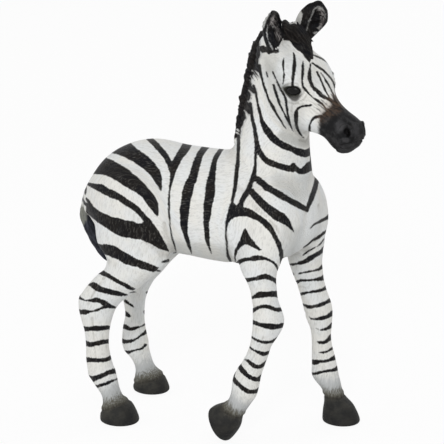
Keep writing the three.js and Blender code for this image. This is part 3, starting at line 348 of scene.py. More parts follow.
# The painted stripes by where they lie: each a line in the photograph's pixels, and its widths along it
STRIPES = {
    "trunk": (
        (((147, 136.5), (153, 142), (160, 149), (166, 157), (170, 164), (172, 170)), (5, 6, 5.5, 6, 6)),
        (((188, 143), (184, 150), (179, 157), (175, 164), (173, 170)), (9, 9, 8, 8, 7)),
        (((173, 168), (172.5, 175), (171, 183), (169.5, 192), (169, 202), (169, 212), (169.5, 220),
         (170.5, 229), (171.5, 236), (174, 244), (176, 251)),
         (7, 4.5, 3, 2.2, 2.2, 2.2, 1.8, 1.3, 1.8, 2.3, 1)),
        (((208, 145), (203, 150), (199.5, 156), (197, 163), (195, 170), (192.5, 178), (189.5, 185),
         (187.5, 192), (186, 200), (185, 208), (184, 217), (184.5, 227), (186, 235), (188, 242),
         (190, 248), (191.5, 253.5)), (6, 6.5, 7, 8, 8.5, 9, 10, 10.5, 10, 9.5, 8.7, 7.3, 5, 4, 2.5, 0.8)),
        (((224, 145.5), (220, 151), (216, 157.5), (214, 164), (212.8, 170.5), (211.5, 178), (210.2, 185),
         (210.2, 193), (209, 200), (207.7, 207), (207, 214), (206.3, 222), (206.7, 230), (207, 237),
         (208, 243.5), (210, 249.5), (211.5, 253.5)),
         (3.5, 4.5, 5, 5.7, 6.3, 7.5, 9.5, 10, 9.5, 8.5, 7.8, 6.5, 5.5, 5, 3.3, 2, 0.8)),
        (((238.5, 136), (238.3, 150), (237.8, 162), (236.8, 172), (235.5, 183), (234.3, 191), (232.5, 199),
         (232, 206)), (3.5, 3.5, 4, 4.3, 4.2, 3.8, 2.5, 3)),
        (((238, 211), (244, 212), (250, 213.5), (256, 216.5), (261, 219.5), (266, 224), (271, 229.5),
         (275, 236.5), (278.5, 243.5), (281, 251), (281.5, 257), (281.5, 263)),
         (10, 9, 8, 7, 6.5, 6, 5.5, 5, 5, 4.5, 4, 3)),
        (((231, 205), (230.5, 212), (228, 219), (226.5, 226), (226, 232), (226.3, 240), (227, 247),
         (227.5, 253), (229, 258), (231.5, 263)), (3, 5, 4.5, 3, 1.6, 1.8, 2, 3, 3.2, 1.5)),
    ),
    "neck": (
        (((250, 104), (251.5, 113), (253, 121), (254.5, 129), (256, 137), (256.5, 145), (256, 152),
         (255.3, 160), (255, 167), (254, 174), (251.5, 181), (249, 188), (246, 194), (242.5, 199.5),
         (240.5, 205)), (4, 3.5, 3.7, 4, 4.2, 4, 3.5, 3.2, 2.8, 4.5, 5, 5, 6, 5, 5)),
        (((257, 142), (258.5, 149), (262, 156), (267, 161), (274, 164), (281, 166.5), (288, 168.5),
         (292.5, 168.5)), (4, 5, 6, 6.5, 6, 6.5, 7, 8)),
        (((293, 166), (297, 169.5), (301, 171.5), (305, 170), (309, 167), (314, 163)),
         (6, 5.5, 6, 7.5, 9, 8)),
        (((310.5, 143), (311, 152), (310.5, 160), (310, 168)), (1.5,)),
        (((253.5, 86), (256, 93), (256.7, 99), (258, 106), (260, 113), (261.5, 119), (264, 125.5),
         (268, 132), (273, 138), (279, 143), (285, 146), (291, 148.5), (296, 151), (302, 153), (307, 153),
         (311, 150), (314, 147)), (3, 2.5, 2.3, 2.5, 3.2, 3.5, 6, 7.5, 7.5, 7, 7, 6, 7, 8, 7.5, 6, 5)),
    ),
    "face": (
        (((259, 66), (260.5, 73), (262, 79), (264, 86), (266.5, 93), (269, 100), (273, 107), (277, 114),
         (281, 121), (284, 126), (286, 129)), (4, 3, 2.5, 2.6, 2.6, 2.8, 3, 2.5, 2, 1.6, 0.8)),
        (((273, 72), (275.5, 78), (278.5, 84.5), (281, 90), (284, 95), (286, 100), (286.5, 106),
         (287.5, 113), (289, 120), (291, 127), (293.5, 132)), (1.5, 2, 2, 2, 2, 3, 3, 2.5, 2.5, 2, 0.7)),
        (((273.5, 85), (275.5, 92), (278, 100), (281, 107), (284, 113), (287, 119), (289.5, 124)),
         (2, 3, 2.6, 2, 2, 2.4, 2)),
        (((283.8, 58), (283, 65), (284, 72), (284, 76), (283, 84)), (0.8, 2, 1.5, 2, 1.4)),
        (((293.5, 53), (294.5, 58), (294.5, 64), (294, 70), (293, 77), (292.5, 84), (293, 88)),
         (1.5, 3, 3.5, 3.8, 3.6, 3, 2.5)),
        (((303, 61), (302.8, 68), (302.5, 75), (302, 81), (303.5, 87), (306.5, 91), (310, 95), (314, 98.5),
         (319, 101.5), (323, 105), (326.5, 109)), (1.5, 2.5, 2.4, 2.2, 3, 2.5, 1.8, 1.8, 2, 2.2, 1)),
        (((310.5, 64), (310, 70), (309.5, 76), (310.5, 82), (313, 87), (317, 91), (321, 95), (326, 98),
         (331, 100.5), (335, 104)), (2, 3, 3.6, 3.5, 3.2, 4, 4, 3.5, 3, 3)),
        (((317, 72), (320, 78), (323, 85), (326, 92), (329, 97), (332, 100)), (1.5, 2, 2, 1.8, 1.8, 1.5)),
        (((321, 73), (325, 79), (329, 86), (332, 92), (335, 98)), (0.8, 1.8, 1.8, 2, 2.5)),
        (((312, 63), (317, 66), (323, 70), (328, 75), (332, 80), (334.5, 86), (336, 92), (336.5, 98)),
         (2, 2.2, 2, 2, 2, 2, 2.4, 3)),
        (((313, 55), (320, 57.8), (326, 61), (330, 64.5), (332.3, 69), (333.2, 74)),
         (1.5, 1.8, 1.8, 2, 2.5, 1)),
        (((266.5, 72), (267.5, 77)), (1.2,)),
        (((311, 105.3), (305, 105.8), (300, 107), (297, 110), (296, 115), (296, 121), (297, 127),
         (299, 132), (302, 136), (304, 138)), (2, 2.3, 2.5, 3.2, 4.5, 4, 3.2, 2.5, 1.8, 0.8)),
        (((322, 116.5), (317, 116.5), (313, 119), (310.5, 123), (309.5, 128), (310, 132), (312, 135.5)),
         (3, 3, 2.5, 2.5, 2.5, 2.2, 1.2)),
    ),
    "chest": (
        (((253, 177), (257, 179), (262, 183), (268, 188), (275, 192), (282, 196), (289, 200), (296, 204),
         (302, 207), (307, 210)), (5, 6.5, 7, 7, 7, 6.5, 6.5, 6.5, 6, 4)),
        (((307, 210), (309, 204), (311.5, 198), (314, 191), (316, 184), (316.5, 178), (314.5, 172)),
         (3.5, 4.5, 5, 5.5, 5, 4, 1)),
        (((249, 189), (252, 192), (256, 197), (261, 202), (266, 207), (271, 211), (276, 214.5),
         (281, 217.5), (285.5, 221), (289, 225), (291.5, 228.5), (294, 232)),
         (4, 7, 7.5, 8, 8.5, 9, 10, 10.5, 8, 5, 3, 0.8)),
        (((331, 205), (331, 212), (328, 217), (323, 220), (318, 222.5), (314, 224.5), (311.5, 227),
         (310, 229)), (1, 2, 4, 3.5, 2.5, 2.2, 2, 0.6)),
        (((329, 223), (328, 229), (325, 232), (321, 235.5), (316, 238.5), (312, 241), (308, 244.5),
         (303.5, 247.5)), (1, 2, 3, 3, 3, 2.2, 1.8, 1.2)),
        (((324, 239), (321, 243), (317, 246.5), (312, 249), (308, 251.5), (303, 255)),
         (1, 1, 1.6, 1.6, 1.4, 1)),
        (((324.5, 247), (321, 251.5), (315, 255.5), (309, 259), (304, 262), (298, 263.5), (292, 264.5),
         (289, 264)), (3, 4.5, 4.5, 5, 4, 3, 2.5, 1.2)),
    ),
    "far foreleg": (
        (((323.5, 266), (318, 269.5), (310, 271.5), (304, 272.5), (299, 273.5)), (4, 2.5, 2, 2.2, 2.5)),
        (((290, 271.5), (293, 274.5)), (2.5,)),
        (((325, 277), (320, 279), (312, 280), (304, 280.5), (299, 281), (296, 283)),
         (6, 4, 2.5, 2.5, 3, 4)),
        (((327, 287), (322, 290), (314, 291.5), (307, 292.5), (300, 294.5)), (4.5, 3.5, 3, 3, 3)),
        (((332, 299), (327, 302), (321, 304.5), (314, 306.5), (309, 307), (305, 305.5), (302, 303.5)),
         (4.5, 4, 4, 3.8, 3.5, 2.5, 1)),
        (((333, 313), (328, 316), (323, 318), (316, 319), (311, 318.5), (309, 316.5)),
         (5.5, 4, 3.3, 2.5, 1.5, 0.6)),
        (((332, 325), (328, 328), (324, 329.5), (320, 330), (316, 328.5)), (5, 3.5, 2.6, 2, 1)),
        (((332, 336), (328, 340), (324, 342.5), (320, 342.5), (318, 342)), (5, 4, 3.5, 3, 2)),
        (((334, 347), (329, 350.5), (325, 352), (321, 352.5), (318, 352.5)), (3, 2.2, 3.2, 2.6, 1)),
        (((337, 356), (332, 359), (326, 361), (320, 361.5), (315, 362.5), (311, 361)),
         (5, 4.5, 3.5, 3.5, 5, 4)),
        (((339, 367), (334, 370), (328, 371), (320, 372.5), (313, 374), (310, 373)),
         (5, 3.5, 2.5, 2.5, 3, 2.5)),
    ),
    "near foreleg": (
        (((236, 265.5), (240, 261.5), (245, 259.5), (251, 259), (258, 258), (264, 258.5), (269, 260),
         (274, 263), (277, 267), (277.5, 270)), (3.5, 4.5, 4, 4.2, 5, 4, 2.8, 2.4, 2.3, 1)),
        (((244, 280.5), (250, 279.5), (256, 278.5), (262, 277), (266, 276.5), (271, 278.5), (275, 280.5),
         (277, 284)), (5, 4, 4, 5, 5.5, 4.5, 4.5, 2)),
        (((249, 298.5), (254, 297), (259, 295), (266, 294.5), (272, 294), (276, 294), (279, 296.5)),
         (2, 4, 6, 5.5, 6, 6.5, 4)),
        (((251, 311.5), (255, 309.5), (260, 307), (266, 306.5), (271, 307.5), (275, 309.5), (280, 309.5),
         (283, 309)), (5, 4, 3.5, 3.8, 3.8, 4.2, 4.2, 3)),
        (((250, 320.5), (254, 322.5), (259, 324.5), (265, 325.5), (271, 326.5), (277, 326.5), (282, 325.5),
         (286, 324.5)), (4, 4, 4.2, 5, 5.5, 5, 4.6, 4)),
        (((250.5, 336), (255, 339.5), (260, 341.5), (266, 342.5), (272, 341.5), (276, 339.5),
         (279, 336.5)), (1.6, 2.3, 2.6, 2.8, 3.2, 3.2, 1.5)),
        (((248.5, 345.5), (252, 349), (257, 351.5), (262, 353.5), (266, 353.5), (271, 351.5)),
         (1.6, 1.8, 2.4, 4, 3.6, 2.6)),
        (((244.5, 359.5), (248, 361), (252, 364), (256, 366.5), (260, 366.5), (264, 364), (267, 361)),
         (1.2, 3, 4, 4.5, 4.5, 4, 2.5)),
        (((239.5, 363), (240.5, 368), (245, 373), (249, 376.5), (253, 378.5), (257, 379.5), (260, 378.5),
         (262.5, 375.5)), (3, 5, 5, 4.5, 4.8, 4.5, 5, 4)),
        (((235, 372), (233, 377), (236, 382), (241, 386.5), (246, 390.5), (251, 392), (256, 391.5),
         (259, 389), (261, 386.5)), (2, 3.5, 4.5, 4.5, 4.5, 4.5, 4.5, 3.8, 2)),
    ),
    "near hind leg": (
        (((100, 272.5), (103, 273), (108, 275.5), (114, 279), (119, 282), (124, 284.5), (129, 287.5),
         (133, 289), (135, 288.5)), (4, 5, 4.5, 4, 4, 4, 4, 3, 1)),
        (((89, 285), (93, 285), (98, 288), (104, 290), (110, 292), (117, 293.5), (122, 294.5), (127, 295)),
         (2, 6, 6.5, 5.5, 5.5, 5, 4, 1.5)),
        (((79, 294.5), (79, 297.5), (82, 299), (86, 300.5), (91, 300.5), (96, 300), (101, 301.5),
         (105, 304), (110, 306), (115, 307.5)), (2.5, 3, 2.5, 2, 3, 5, 5, 6.5, 5, 2)),
        (((78, 311), (81, 312), (85, 312), (90, 311.5), (95, 311), (100, 309), (104, 307), (108, 306.5)),
         (4.5, 5, 5, 2.5, 2.2, 3, 4, 4)),
        (((83, 328.5), (88, 329), (93, 328.5), (98, 328.5), (104, 328), (108, 327.5), (111, 328.5)),
         (5, 5, 5, 5, 4.5, 4.5, 3)),
        (((85.5, 343), (90, 344.5), (96, 343.5), (102, 342.5), (107, 341.5), (111, 341.5)),
         (5.5, 5, 4.3, 4.5, 4.8, 4)),
        (((85.5, 359.5), (90, 360), (97, 360), (104, 360), (108, 359), (110.5, 357.5), (113, 355)),
         (6, 4.5, 4, 4, 4, 3.8, 3)),
        (((87, 376), (91, 379), (96, 378), (102, 375.5), (107, 373), (112, 371.5), (117, 371), (119, 373)),
         (3, 6.5, 5.5, 5, 4.5, 5, 6, 3)),
        (((93, 384.5), (96, 386.5), (100, 385.5), (106, 384), (111, 381.5), (118, 378.5)),
         (1.2, 3.2, 3, 3, 3, 1.8)),
    ),
    "far hind leg": (
        (((125, 301), (128, 303), (131, 305), (134.5, 307.5)), (2.5, 2.8, 2.6, 1)),
        (((130, 292.5), (133, 292), (136, 292)), (0.8, 1.6, 1)),
        (((124, 311.5), (126.5, 314), (129, 316)), (2.5, 5, 3)),
        (((145, 311.5), (145, 313.5)), (3, 2)),
        (((121.5, 327), (125, 326.5), (129, 329), (134, 328.5), (139, 327), (143, 325.5), (147, 322.5)),
         (3, 5, 3.5, 3, 2.2, 2, 1.8)),
        (((120, 340), (124, 341.5), (129, 341.5), (133, 340.5), (138, 337.5), (143, 334), (148, 330.5)),
         (5, 4, 3.5, 3.2, 2.4, 3, 4.5)),
        (((125, 351.5), (128, 352.5), (132, 351), (138, 349.5), (142, 348.5), (145.5, 345)),
         (2, 3.2, 2.2, 1.8, 2.4, 3.2)),
        (((147, 292.5), (151, 292)), (2.5,)),
        (((157, 270.5), (160, 271)), (2,)),
        (((163, 262), (168, 260.5)), (3,)),
        (((174, 253), (176, 252.5)), (1.5,)),
    ),
}
# The mane's black foot on the neck, with the pale tufts left out of it
MANE_FOOT = (
    (259, 36), (259.5, 44), (260, 50), (260.5, 55), (258.5, 60), (258.5, 64), (260, 67), (260.5, 72),
    (261, 76), (258.5, 77), (256.5, 75), (254, 74), (252.5, 75.5), (251, 80), (251, 84), (252.5, 87),
    (255, 88.5), (256, 90), (256, 94), (253.5, 93.5), (251, 92), (250.5, 94), (250.5, 98), (249, 101),
    (248.5, 103), (250, 105), (252, 107.5), (251.5, 113), (249, 114.5), (246.8, 113), (245, 112.5),
    (244.5, 115), (246, 118), (244, 121), (243, 125), (241, 128), (241, 132), (240, 137), (228, 140),
    (226, 120), (230, 90), (236, 60), (245, 30), (262, 10), (316, 10), (316, 34), (285, 30), (265, 30),
)
# The forelock, all black
LOCK_OUTLINE = ((222, 0), (335, 0), (335, 68), (300, 68), (285, 60), (258, 62), (222, 66))
# The black skin that the forelock covers, in front of the far ear
UNDER_FORELOCK = (
    (284, 14), (300, 16), (309, 26), (314, 36), (314, 46), (309, 52), (303, 44), (294, 34), (286, 24),
)
# Pale and dark hairs that run into each other at the mane's foot
PALE_TUFTS = (
    (((252.4, 70.5), (255, 74.5), (258, 79)), (0.7, 1.2, 1.4)),
    (((250.7, 76.5), (253, 80), (255, 83)), (0.7, 1.2, 1.2)),
    (((255, 70.5), (258, 74), (260, 77)), (0.6, 1.1, 1.3)),
    (((249.6, 80.5), (251.5, 83), (253, 85)), (0.6, 1, 1)),
    (((248.8, 90.5), (251, 92.5), (253.5, 95)), (0.8, 1.4, 1.4)),
    (((247.4, 101), (250, 102.5)), (0.8, 1.6)),
    (((244.4, 110.5), (246.5, 113), (248, 116)), (0.8, 1.6, 2)),
    (((236.5, 132.5), (240, 135)), (0.8, 1.6)),
    (((236.8, 129.5), (239, 131)), (0.8, 1.2)),
)
DARK_TUFTS = (
    (((250.5, 75), (253, 78.5), (255, 81)), (1.4, 1, 0.6)),
    (((252.5, 72), (255.5, 76), (257.5, 80)), (1.4, 1, 0.6)),
    (((249, 80), (251.5, 84)), (1.6, 0.8)),
    (((248.5, 92.5), (251, 95.5)), (1.6, 0.8)),
    (((249, 97), (252, 99)), (1.4, 0.6)),
    (((244.5, 113), (246, 119)), (1.6, 0.8)),
)
# The muzzle's dark paint, and the brown that it turns to on the bridge of the nose
MUZZLE = (
    (319, 136), (318.5, 128), (319, 121), (320, 115), (324, 111), (328, 108), (331, 104), (332, 100),
    (335, 97), (338, 96), (342, 99), (346, 104), (352, 109), (360, 114), (368, 120), (374, 130),
    (372, 142), (362, 152), (350, 158), (338, 158), (328, 150), (321, 142),
)
BROWN_BRIDGE = ((322, 106), (328, 98), (334, 94), (342, 98), (344, 106), (338, 112), (326, 118), (318, 124))
NOSE_STREAKS = (
    (((321, 100), (326, 104), (330, 108)), (0.6, 1.3, 0.8)),
    (((318, 104), (323, 108), (327, 112)), (0.6, 1.4, 1)),
    (((326, 97), (330, 101), (334, 106)), (0.7, 1.5, 1)),
    (((331, 94), (335, 99), (338, 105)), (0.7, 1.6, 1)),
    (((314, 107), (319, 110), (324, 115)), (0.5, 1.1, 0.8)),
)
# The opening of the lids, the shadow round it and the grey lower lid; the nostril's opening
EYE_OPENING = (
    (285.5, 89.5), (288, 87.3), (292, 86.3), (296, 86.6), (299, 88.3), (301, 91.2), (299.5, 93.6),
    (296, 95), (292, 95.2), (288.5, 93.6), (286.3, 91.5),
)
EYE_SURROUND = (
    (283, 87.5), (287, 86), (293, 85.4), (298, 86), (301, 89), (301.5, 92), (299.5, 95.5), (298, 99.5),
    (295, 101), (291.5, 100), (288, 96.5), (285, 93.5), (283.3, 90.5),
)
LOWER_LID = (
    (288.5, 97), (292, 96.5), (296, 96.5), (300, 94.5), (302, 93), (300.5, 98), (297, 101.5), (292, 101.5),
)
NOSTRIL_OPENING = (
    (343, 130.5), (344.5, 128), (347, 127.2), (349.8, 128.8), (351, 132), (350.8, 135.5), (349, 137.6),
    (346.6, 137.4), (346.2, 134.5), (344, 133.5),
)
# The shapes that both sides of the head have alike
TWIN_SHAPES = {
    "eye": EYE_OPENING, "eye_surround": EYE_SURROUND, "lower_lid": LOWER_LID, "nostril": NOSTRIL_OPENING,
}
# Ridges and grooves round a shape or along a foot, in millimetres: how high, how far inside it, how wide
RIDGES = {
    "lid": (0.2, -0.22, 0.18),
    "lid's edge": (-0.1, 0.03, 0.09),
    "fold round the lids": (-0.16, -0.62, 0.22),
    "nostril's rim": (0.16, -0.2, 0.2),
    "coronet": (0.13, 0.25, 0.35),
    "groove below the coronet": (-0.12, -0.4, 0.25),
}
# In millimetres, how high the eyeball, the far ear's back and the combed ripples of the mane's foot stand
EYEBALL_RISE = 0.34
FAR_EAR_RISE = 0.66
MANE_FOOT_RISE = 0.06
# In millimetres, how far the far brow and the nostril are sunk
FAR_BROW_DROP = 0.2
NOSTRIL_DROP = 0.6
# In millimetres, how far down either side of the neck the mane's black foot reaches
MANE_FOOT_DEPTH = 2
MANE_FOOT_FAR_REACH = 2.3
# Lines raised or sunk on both sides of the face and body: a line, its widths, and its height in millimetres
FOLDS = {
    "mouth": (((367, 136.5), (361, 140), (354, 142.5), (347, 144), (341, 145)), (2.4, 2.8, 2.6, 2.2, 1.4),
        -0.17),
    "lower lip": (((364, 142), (357, 146), (349, 148.5), (342, 148)), (4, 5, 5, 3), 0.12),
    "nostril's upper fold": (((340, 131), (342.5, 127), (346.5, 125.5), (351, 127.5)),
        (2.5, 3.4, 3.4, 2.4), 0.2),
    "brow": (((281, 87), (284.5, 83.5), (290, 81.8), (297, 82.5), (302, 87)), (3, 5, 6, 5, 3), 0.26),
    "ergot, far fore": (((311, 373), (313.5, 381), (319, 386)), (7, 9, 5), 0.32),
    "bridge of the nose": (((335, 96), (341, 103), (349, 110.5)), (8, 10, 6), 0.42),
    "chin": (((337, 152), (345, 154), (354, 150.5)), (6, 8, 6), 0.34),
    "temple": (((287, 66), (290, 73), (293, 77)), (9, 11, 8), -0.2),
    "cheek bone": (((300, 102.5), (307, 103), (314, 107), (321, 113), (326, 118)), (4, 6, 6, 5, 3), 0.2),
    "cheek's back": (((292, 104), (291, 113), (293, 123), (297, 133), (304, 140)), (4, 6, 7, 6, 4), -0.16),
    "below the eye": (((287, 102), (294, 104.5), (302, 101), (306, 96)), (3, 4.5, 4.5, 3), -0.14),
    "throat": (((300, 140), (306, 141.5), (311, 139)), (4, 5, 4), -0.2),
    "elbow": (((233, 264), (228, 254), (226.5, 243), (226, 232)), (8.5, 11.9, 10.2, 5.1), -0.16),
    "front of the shoulder": (((284, 264), (284.5, 252), (282, 240), (277, 229), (270, 221)),
        (8.5, 13.6, 13.6, 10.2, 5.1), -0.22),
    "shoulder blade": (((238, 186), (246, 196), (256, 207), (266, 216)), (8.5, 13.6, 13.6, 8.5), -0.09),
    "breast": (((307, 212), (305, 226), (299, 240), (293, 254)), (8.5, 13.6, 15.3, 10.2), -0.2),
    "flank": (((175, 254), (170, 246), (166, 236), (164, 224)), (8.5, 15.3, 15.3, 6.8), -0.2),
    "stifle": (((158, 262), (150, 254), (144, 247)), (10.2, 17, 10.2), 0.14),
    "thigh's back": (((93, 246), (99, 258), (103, 268), (103, 278)), (8.5, 11.9, 11.9, 6.8), -0.16),
    "hind tendon, near": (((104, 276), (97, 286), (91, 297), (88, 304)), (5.1, 7.6, 6.8, 5.1), -0.19),
    "hock, near": (((79, 293), (82, 301), (86, 309)), (6.8, 10.2, 8.5), 0.12),
    "hind cannon, near": (((92, 318), (93, 332), (94.5, 346), (96, 360)), (5.1, 6.1, 6.1, 5.1), -0.14),
    "hind fetlock, near": (((86, 374), (96, 376), (108, 371), (118, 369)), (8.5, 10.2, 10.2, 8.5), 0.09),
    "hind cannon, far": (((131, 318), (130, 330), (131, 343)), (5.1, 6.1, 5.1), -0.13),
    "knee, near": (((268, 312), (272, 321), (271, 331)), (11.9, 15.3, 10.2), 0.12),
    "above the knee, near": (((253, 306), (262, 308), (272, 307)), (6.8, 8.5, 6.8), -0.09),
    "fore cannon, near": (((263, 338), (257, 350), (250, 362)), (5.1, 6.5, 5.1), -0.14),
    "fetlock, near": (((238, 366), (246, 374), (257, 380)), (8.5, 10.2, 8.5), 0.09),
    "knee, far": (((326, 308), (329, 318), (328, 328)), (10.2, 13.6, 10.2), 0.1),
    "fore cannon, far": (((316, 334), (319, 346), (321, 356)), (5.1, 6.5, 5.1), -0.14),
    "fetlock, far": (((312, 366), (322, 370), (336, 366)), (8.5, 10.2, 8.5), 0.09),
}
# Where the far brow is pared down to the photograph's outline
FAR_BROW = (((312, 50), (319, 52.5), (326, 55), (331, 58.5), (334, 63)), (7, 9, 10, 9, 6))
# Where the far ear's back swells out to the photograph's outline
FAR_EAR_BACK = (((295, 27), (298, 20), (302, 13), (306, 8), (312, 4)), (10, 13, 12, 9, 4))
# Painted shade, a thin grey sprayed where the coat lies in shadow: an outline, how strong it is, and how
# softly it ends in millimetres
PAINTED_SHADES = {
    "under the jaw": (((282, 130), (292, 134), (300, 138), (311, 139), (312, 146), (303, 148), (292, 145),
        (283, 142), (277, 136)), 0.5, 1.2),
    "temple": (((262, 54), (277, 53), (280, 60), (277, 70), (268, 74), (262, 68)), 0.26, 1.6),
    "throat": (((272, 170), (300, 176), (312, 172), (310, 196), (303, 202), (288, 196), (272, 186)),
        0.26, 1.8),
    "breast": (((283, 218), (296, 228), (304, 226), (300, 256), (288, 264), (281, 245)), 0.26, 1.8),
    "belly": (((170, 240), (200, 243), (232, 247), (232, 275), (170, 270)), 0.32, 1.8),
    "cheek": (((266, 60), (285, 76), (286, 98), (306, 104), (302, 132), (286, 128), (272, 100), (264, 78)),
        0.24, 2),
    "forehead": (((282, 44), (300, 60), (318, 66), (322, 84), (310, 92), (296, 74), (282, 60)), 0.16, 2),
    "inner corner of the eye": (((282, 86), (289, 84), (288, 88), (285, 92), (281, 90)), 0.6, 0.8),
}
# Painted highlights, paler places on the muzzle
SHEENS = {
    "above the nostril": (((336, 124), (341, 121.5), (346, 123.5), (344.5, 128), (341, 132), (336, 131)),
        0.3, 1),
    "end of the nose": (((352, 126), (356, 124), (359.5, 128), (359, 134), (355.5, 136), (353, 131)),
        0.24, 1),
    "below the nostril": (((342, 139), (347, 138), (350, 140), (347, 142.5), (342.5, 142)), 0.3, 0.6),
    "lip": (((330, 140), (338, 147), (346, 150), (356, 146), (354, 143), (345, 146), (336, 142)), 0.1, 0.8),
}
# The black band round the foot of the near ear
EAR_FOOT = (
    (259, 46), (264, 45.5), (268, 48), (273, 50.5), (278.5, 49), (279.5, 52), (276, 53.5), (270, 53),
    (266, 52.5), (262, 53), (259.5, 51),
)
# The pale paint of the ears, and the tail's dark tuft and the marks on its dock
EAR_PALE = (
    ((269, 11), (265, 13), (259, 20), (257, 28), (262, 30), (264, 27), (266, 21.5), (268.5, 16),
     (270, 12.5)),
    ((258.5, 38), (261.5, 40), (264, 43), (265, 46), (262, 47), (260, 45), (258, 41)),
    ((316, 7.5), (319, 6.5), (323, 8.5), (325.5, 13), (325.5, 18), (324.6, 18), (324, 13), (321.5, 9.6),
     (318, 8.8), (316, 9)),
    ((317.5, 28), (320, 26), (322, 27), (319, 29.5)),
    ((313, 33), (315.5, 31.5), (318, 32), (315, 34)),
    ((301, 10), (295, 15), (288, 22), (289, 26), (298, 27), (301, 26), (301.8, 20), (302.5, 14)),
)
EAR_LINES = (
    (((268, 24), (267, 30), (267.3, 36), (268.5, 41), (271, 46), (272.5, 49)), (0.7,)),
    (((318, 7), (314, 10), (311.5, 16), (309, 22), (307.5, 27), (307, 30)), (1.1,)),
)
EAR_FUZZ = (
    ((316.5, 8), (320, 7), (323.5, 9), (325.5, 14), (325, 21), (322, 26), (320, 24), (321, 18), (320, 13),
     (317, 10.5)),
    ((269, 25), (271, 19), (274, 15.5), (276.5, 18), (278.5, 25), (280, 32), (281, 38), (279, 41),
     (276, 36), (275, 30), (273, 26), (270.5, 25), (269, 27)),
)
TAIL_DARK = (
    (88, 206), (91, 205), (93, 214), (96, 224), (100, 234), (105, 246), (110, 255), (108, 266), (100, 264),
    (90, 247), (80, 234), (79, 229), (84, 225), (87, 218), (88, 211),
)
TAIL_MARKS = (
    (((91, 174.5), (89.5, 177), (88, 180)), (0.6, 1.4, 0.8)),
    (((85.3, 184), (85.5, 189), (85.3, 194)), (1.6, 2.8, 1.4)),
    (((81.5, 193), (82.2, 198), (84.5, 203), (87, 205.5), (90, 208)), (1.6, 2.2, 2.6, 2.6, 2)),
    (((86.5, 198.5), (89, 202.5), (91.5, 207)), (2.2, 3.6, 3.8)),
)


def pixels_of(points):
    """Where points show in the photograph, in its pixels."""
    offset = points - np.array(VIEW_PLACE)
    depth = -offset @ np.array(VIEW_BACK)
    across = offset @ np.array(VIEW_RIGHT) / depth
    above = offset @ np.array(VIEW_UP) / depth
    middle = FRAME_SIDE / 2
    return np.stack([middle + PIXELS_PER_SLOPE * across, middle - PIXELS_PER_SLOPE * above], 1)


def along_line(line, share):
    """The row of numbers at a share of the way along a line, smoothly between its rows."""
    rows = np.array(line, float)
    at = share * (len(rows) - 1)
    i = int(min(max(math.floor(at), 0), len(rows) - 2))
    t = at - i
    p0, p1, p2, p3 = (rows[min(max(i + k, 0), len(rows) - 1)] for k in (-1, 0, 1, 2))
    return 0.5 * (2 * p1 + (p2 - p0) * t + (2 * p0 - 5 * p1 + 4 * p2 - p3) * t * t
                  + (3 * p1 - p0 - 3 * p2 + p3) * t ** 3)


def stripe_line(points, widths):
    """A stripe's line drawn smoothly through its points, with its half width all along."""
    count = len(points)
    halves = np.interp(np.linspace(0, 1, count), np.linspace(0, 1, len(widths)), widths) / 2
    rows = np.column_stack([points, halves])
    return np.array([along_line(rows, share) for share in np.linspace(0, 1, 2 * count - 1)])


def close_to(pixels, shape, reach):
    """The numbers of the pixels that lie within reach of a shape's box."""
    low, high = shape[:, :2].min(0) - reach, shape[:, :2].max(0) + reach
    return np.nonzero(((pixels > low) & (pixels < high)).all(1))[0]


def from_step(pixels, a, b):
    """How far along the step from a to b each pixel lies, from 0 to 1, and how far away from it."""
    step = b[:2] - a[:2]
    share = np.clip((pixels - a[:2]) @ step / max(step @ step, 1e-9), 0, 1)
    return share, np.linalg.norm(pixels - a[:2] - share[:, None] * step, axis=1)


def stripe_depth(pixels, line, depth):
    """Raises depth to how far each pixel lies inside a stripe."""
    chosen = close_to(pixels, line, PAINT_REACH + line[:, 2].max())
    for a, b in zip(line[:-1], line[1:]):
        share, away = from_step(pixels[chosen], a, b)
        depth[chosen] = np.maximum(depth[chosen], a[2] + share * (b[2] - a[2]) - away)


def patch_depth(pixels, outline, depth):
    """Raises depth to how far each pixel lies inside an outlined patch."""
    outline = np.array(outline, float)
    chosen = close_to(pixels, outline, PAINT_REACH)
    here = pixels[chosen]
    inside = np.zeros(len(here), bool)
    nearest = np.full(len(here), 1e9)
    for a, b in zip(outline, np.roll(outline, -1, 0)):
        nearest = np.minimum(nearest, from_step(here, a, b)[1])
        if a[1] != b[1]:
            beside = a[0] + (here[:, 1] - a[1]) * (b[0] - a[0]) / (b[1] - a[1])
            inside ^= ((a[1] > here[:, 1]) != (b[1] > here[:, 1])) & (here[:, 0] < beside)
    depth[chosen] = np.maximum(depth[chosen], np.where(inside, nearest, -nearest))


def painted_depth(pixels, patches=(), stripes=()):
    """How deep each pixel lies inside patches and stripes, in millimetres, negative outside."""
    depth = np.full(len(pixels), -PAINT_REACH)
    for outline in patches:
        patch_depth(pixels, outline, depth)
    for points, widths in stripes:
        stripe_depth(pixels, stripe_line(points, widths), depth)
    return np.clip(depth, -PAINT_REACH, PAINT_REACH) * MM_PER_PIXEL


def fold_share(pixels, line):
    """1 along a fold's line, falling smoothly to 0 at its edges."""
    share = np.zeros(len(pixels))
    chosen = close_to(pixels, line, line[:, 2].max())
    for a, b in zip(line[:-1], line[1:]):
        along, away = from_step(pixels[chosen], a, b)
        away /= a[2] + along * (b[2] - a[2])
        share[chosen] = np.maximum(share[chosen], np.clip(1 - away ** 2, 0, 1) ** 2)
    return share


def mirror_turns(points, head_share):
    """How far the mirror between the animal's sides turns with the head at each point."""
    by_height = np.interp(points[:, 2] / MM, *np.array(NECK_TURNS).T)
    return HEAD_TURN * np.where(points[:, 0] > 0, np.maximum(head_share, by_height), head_share)


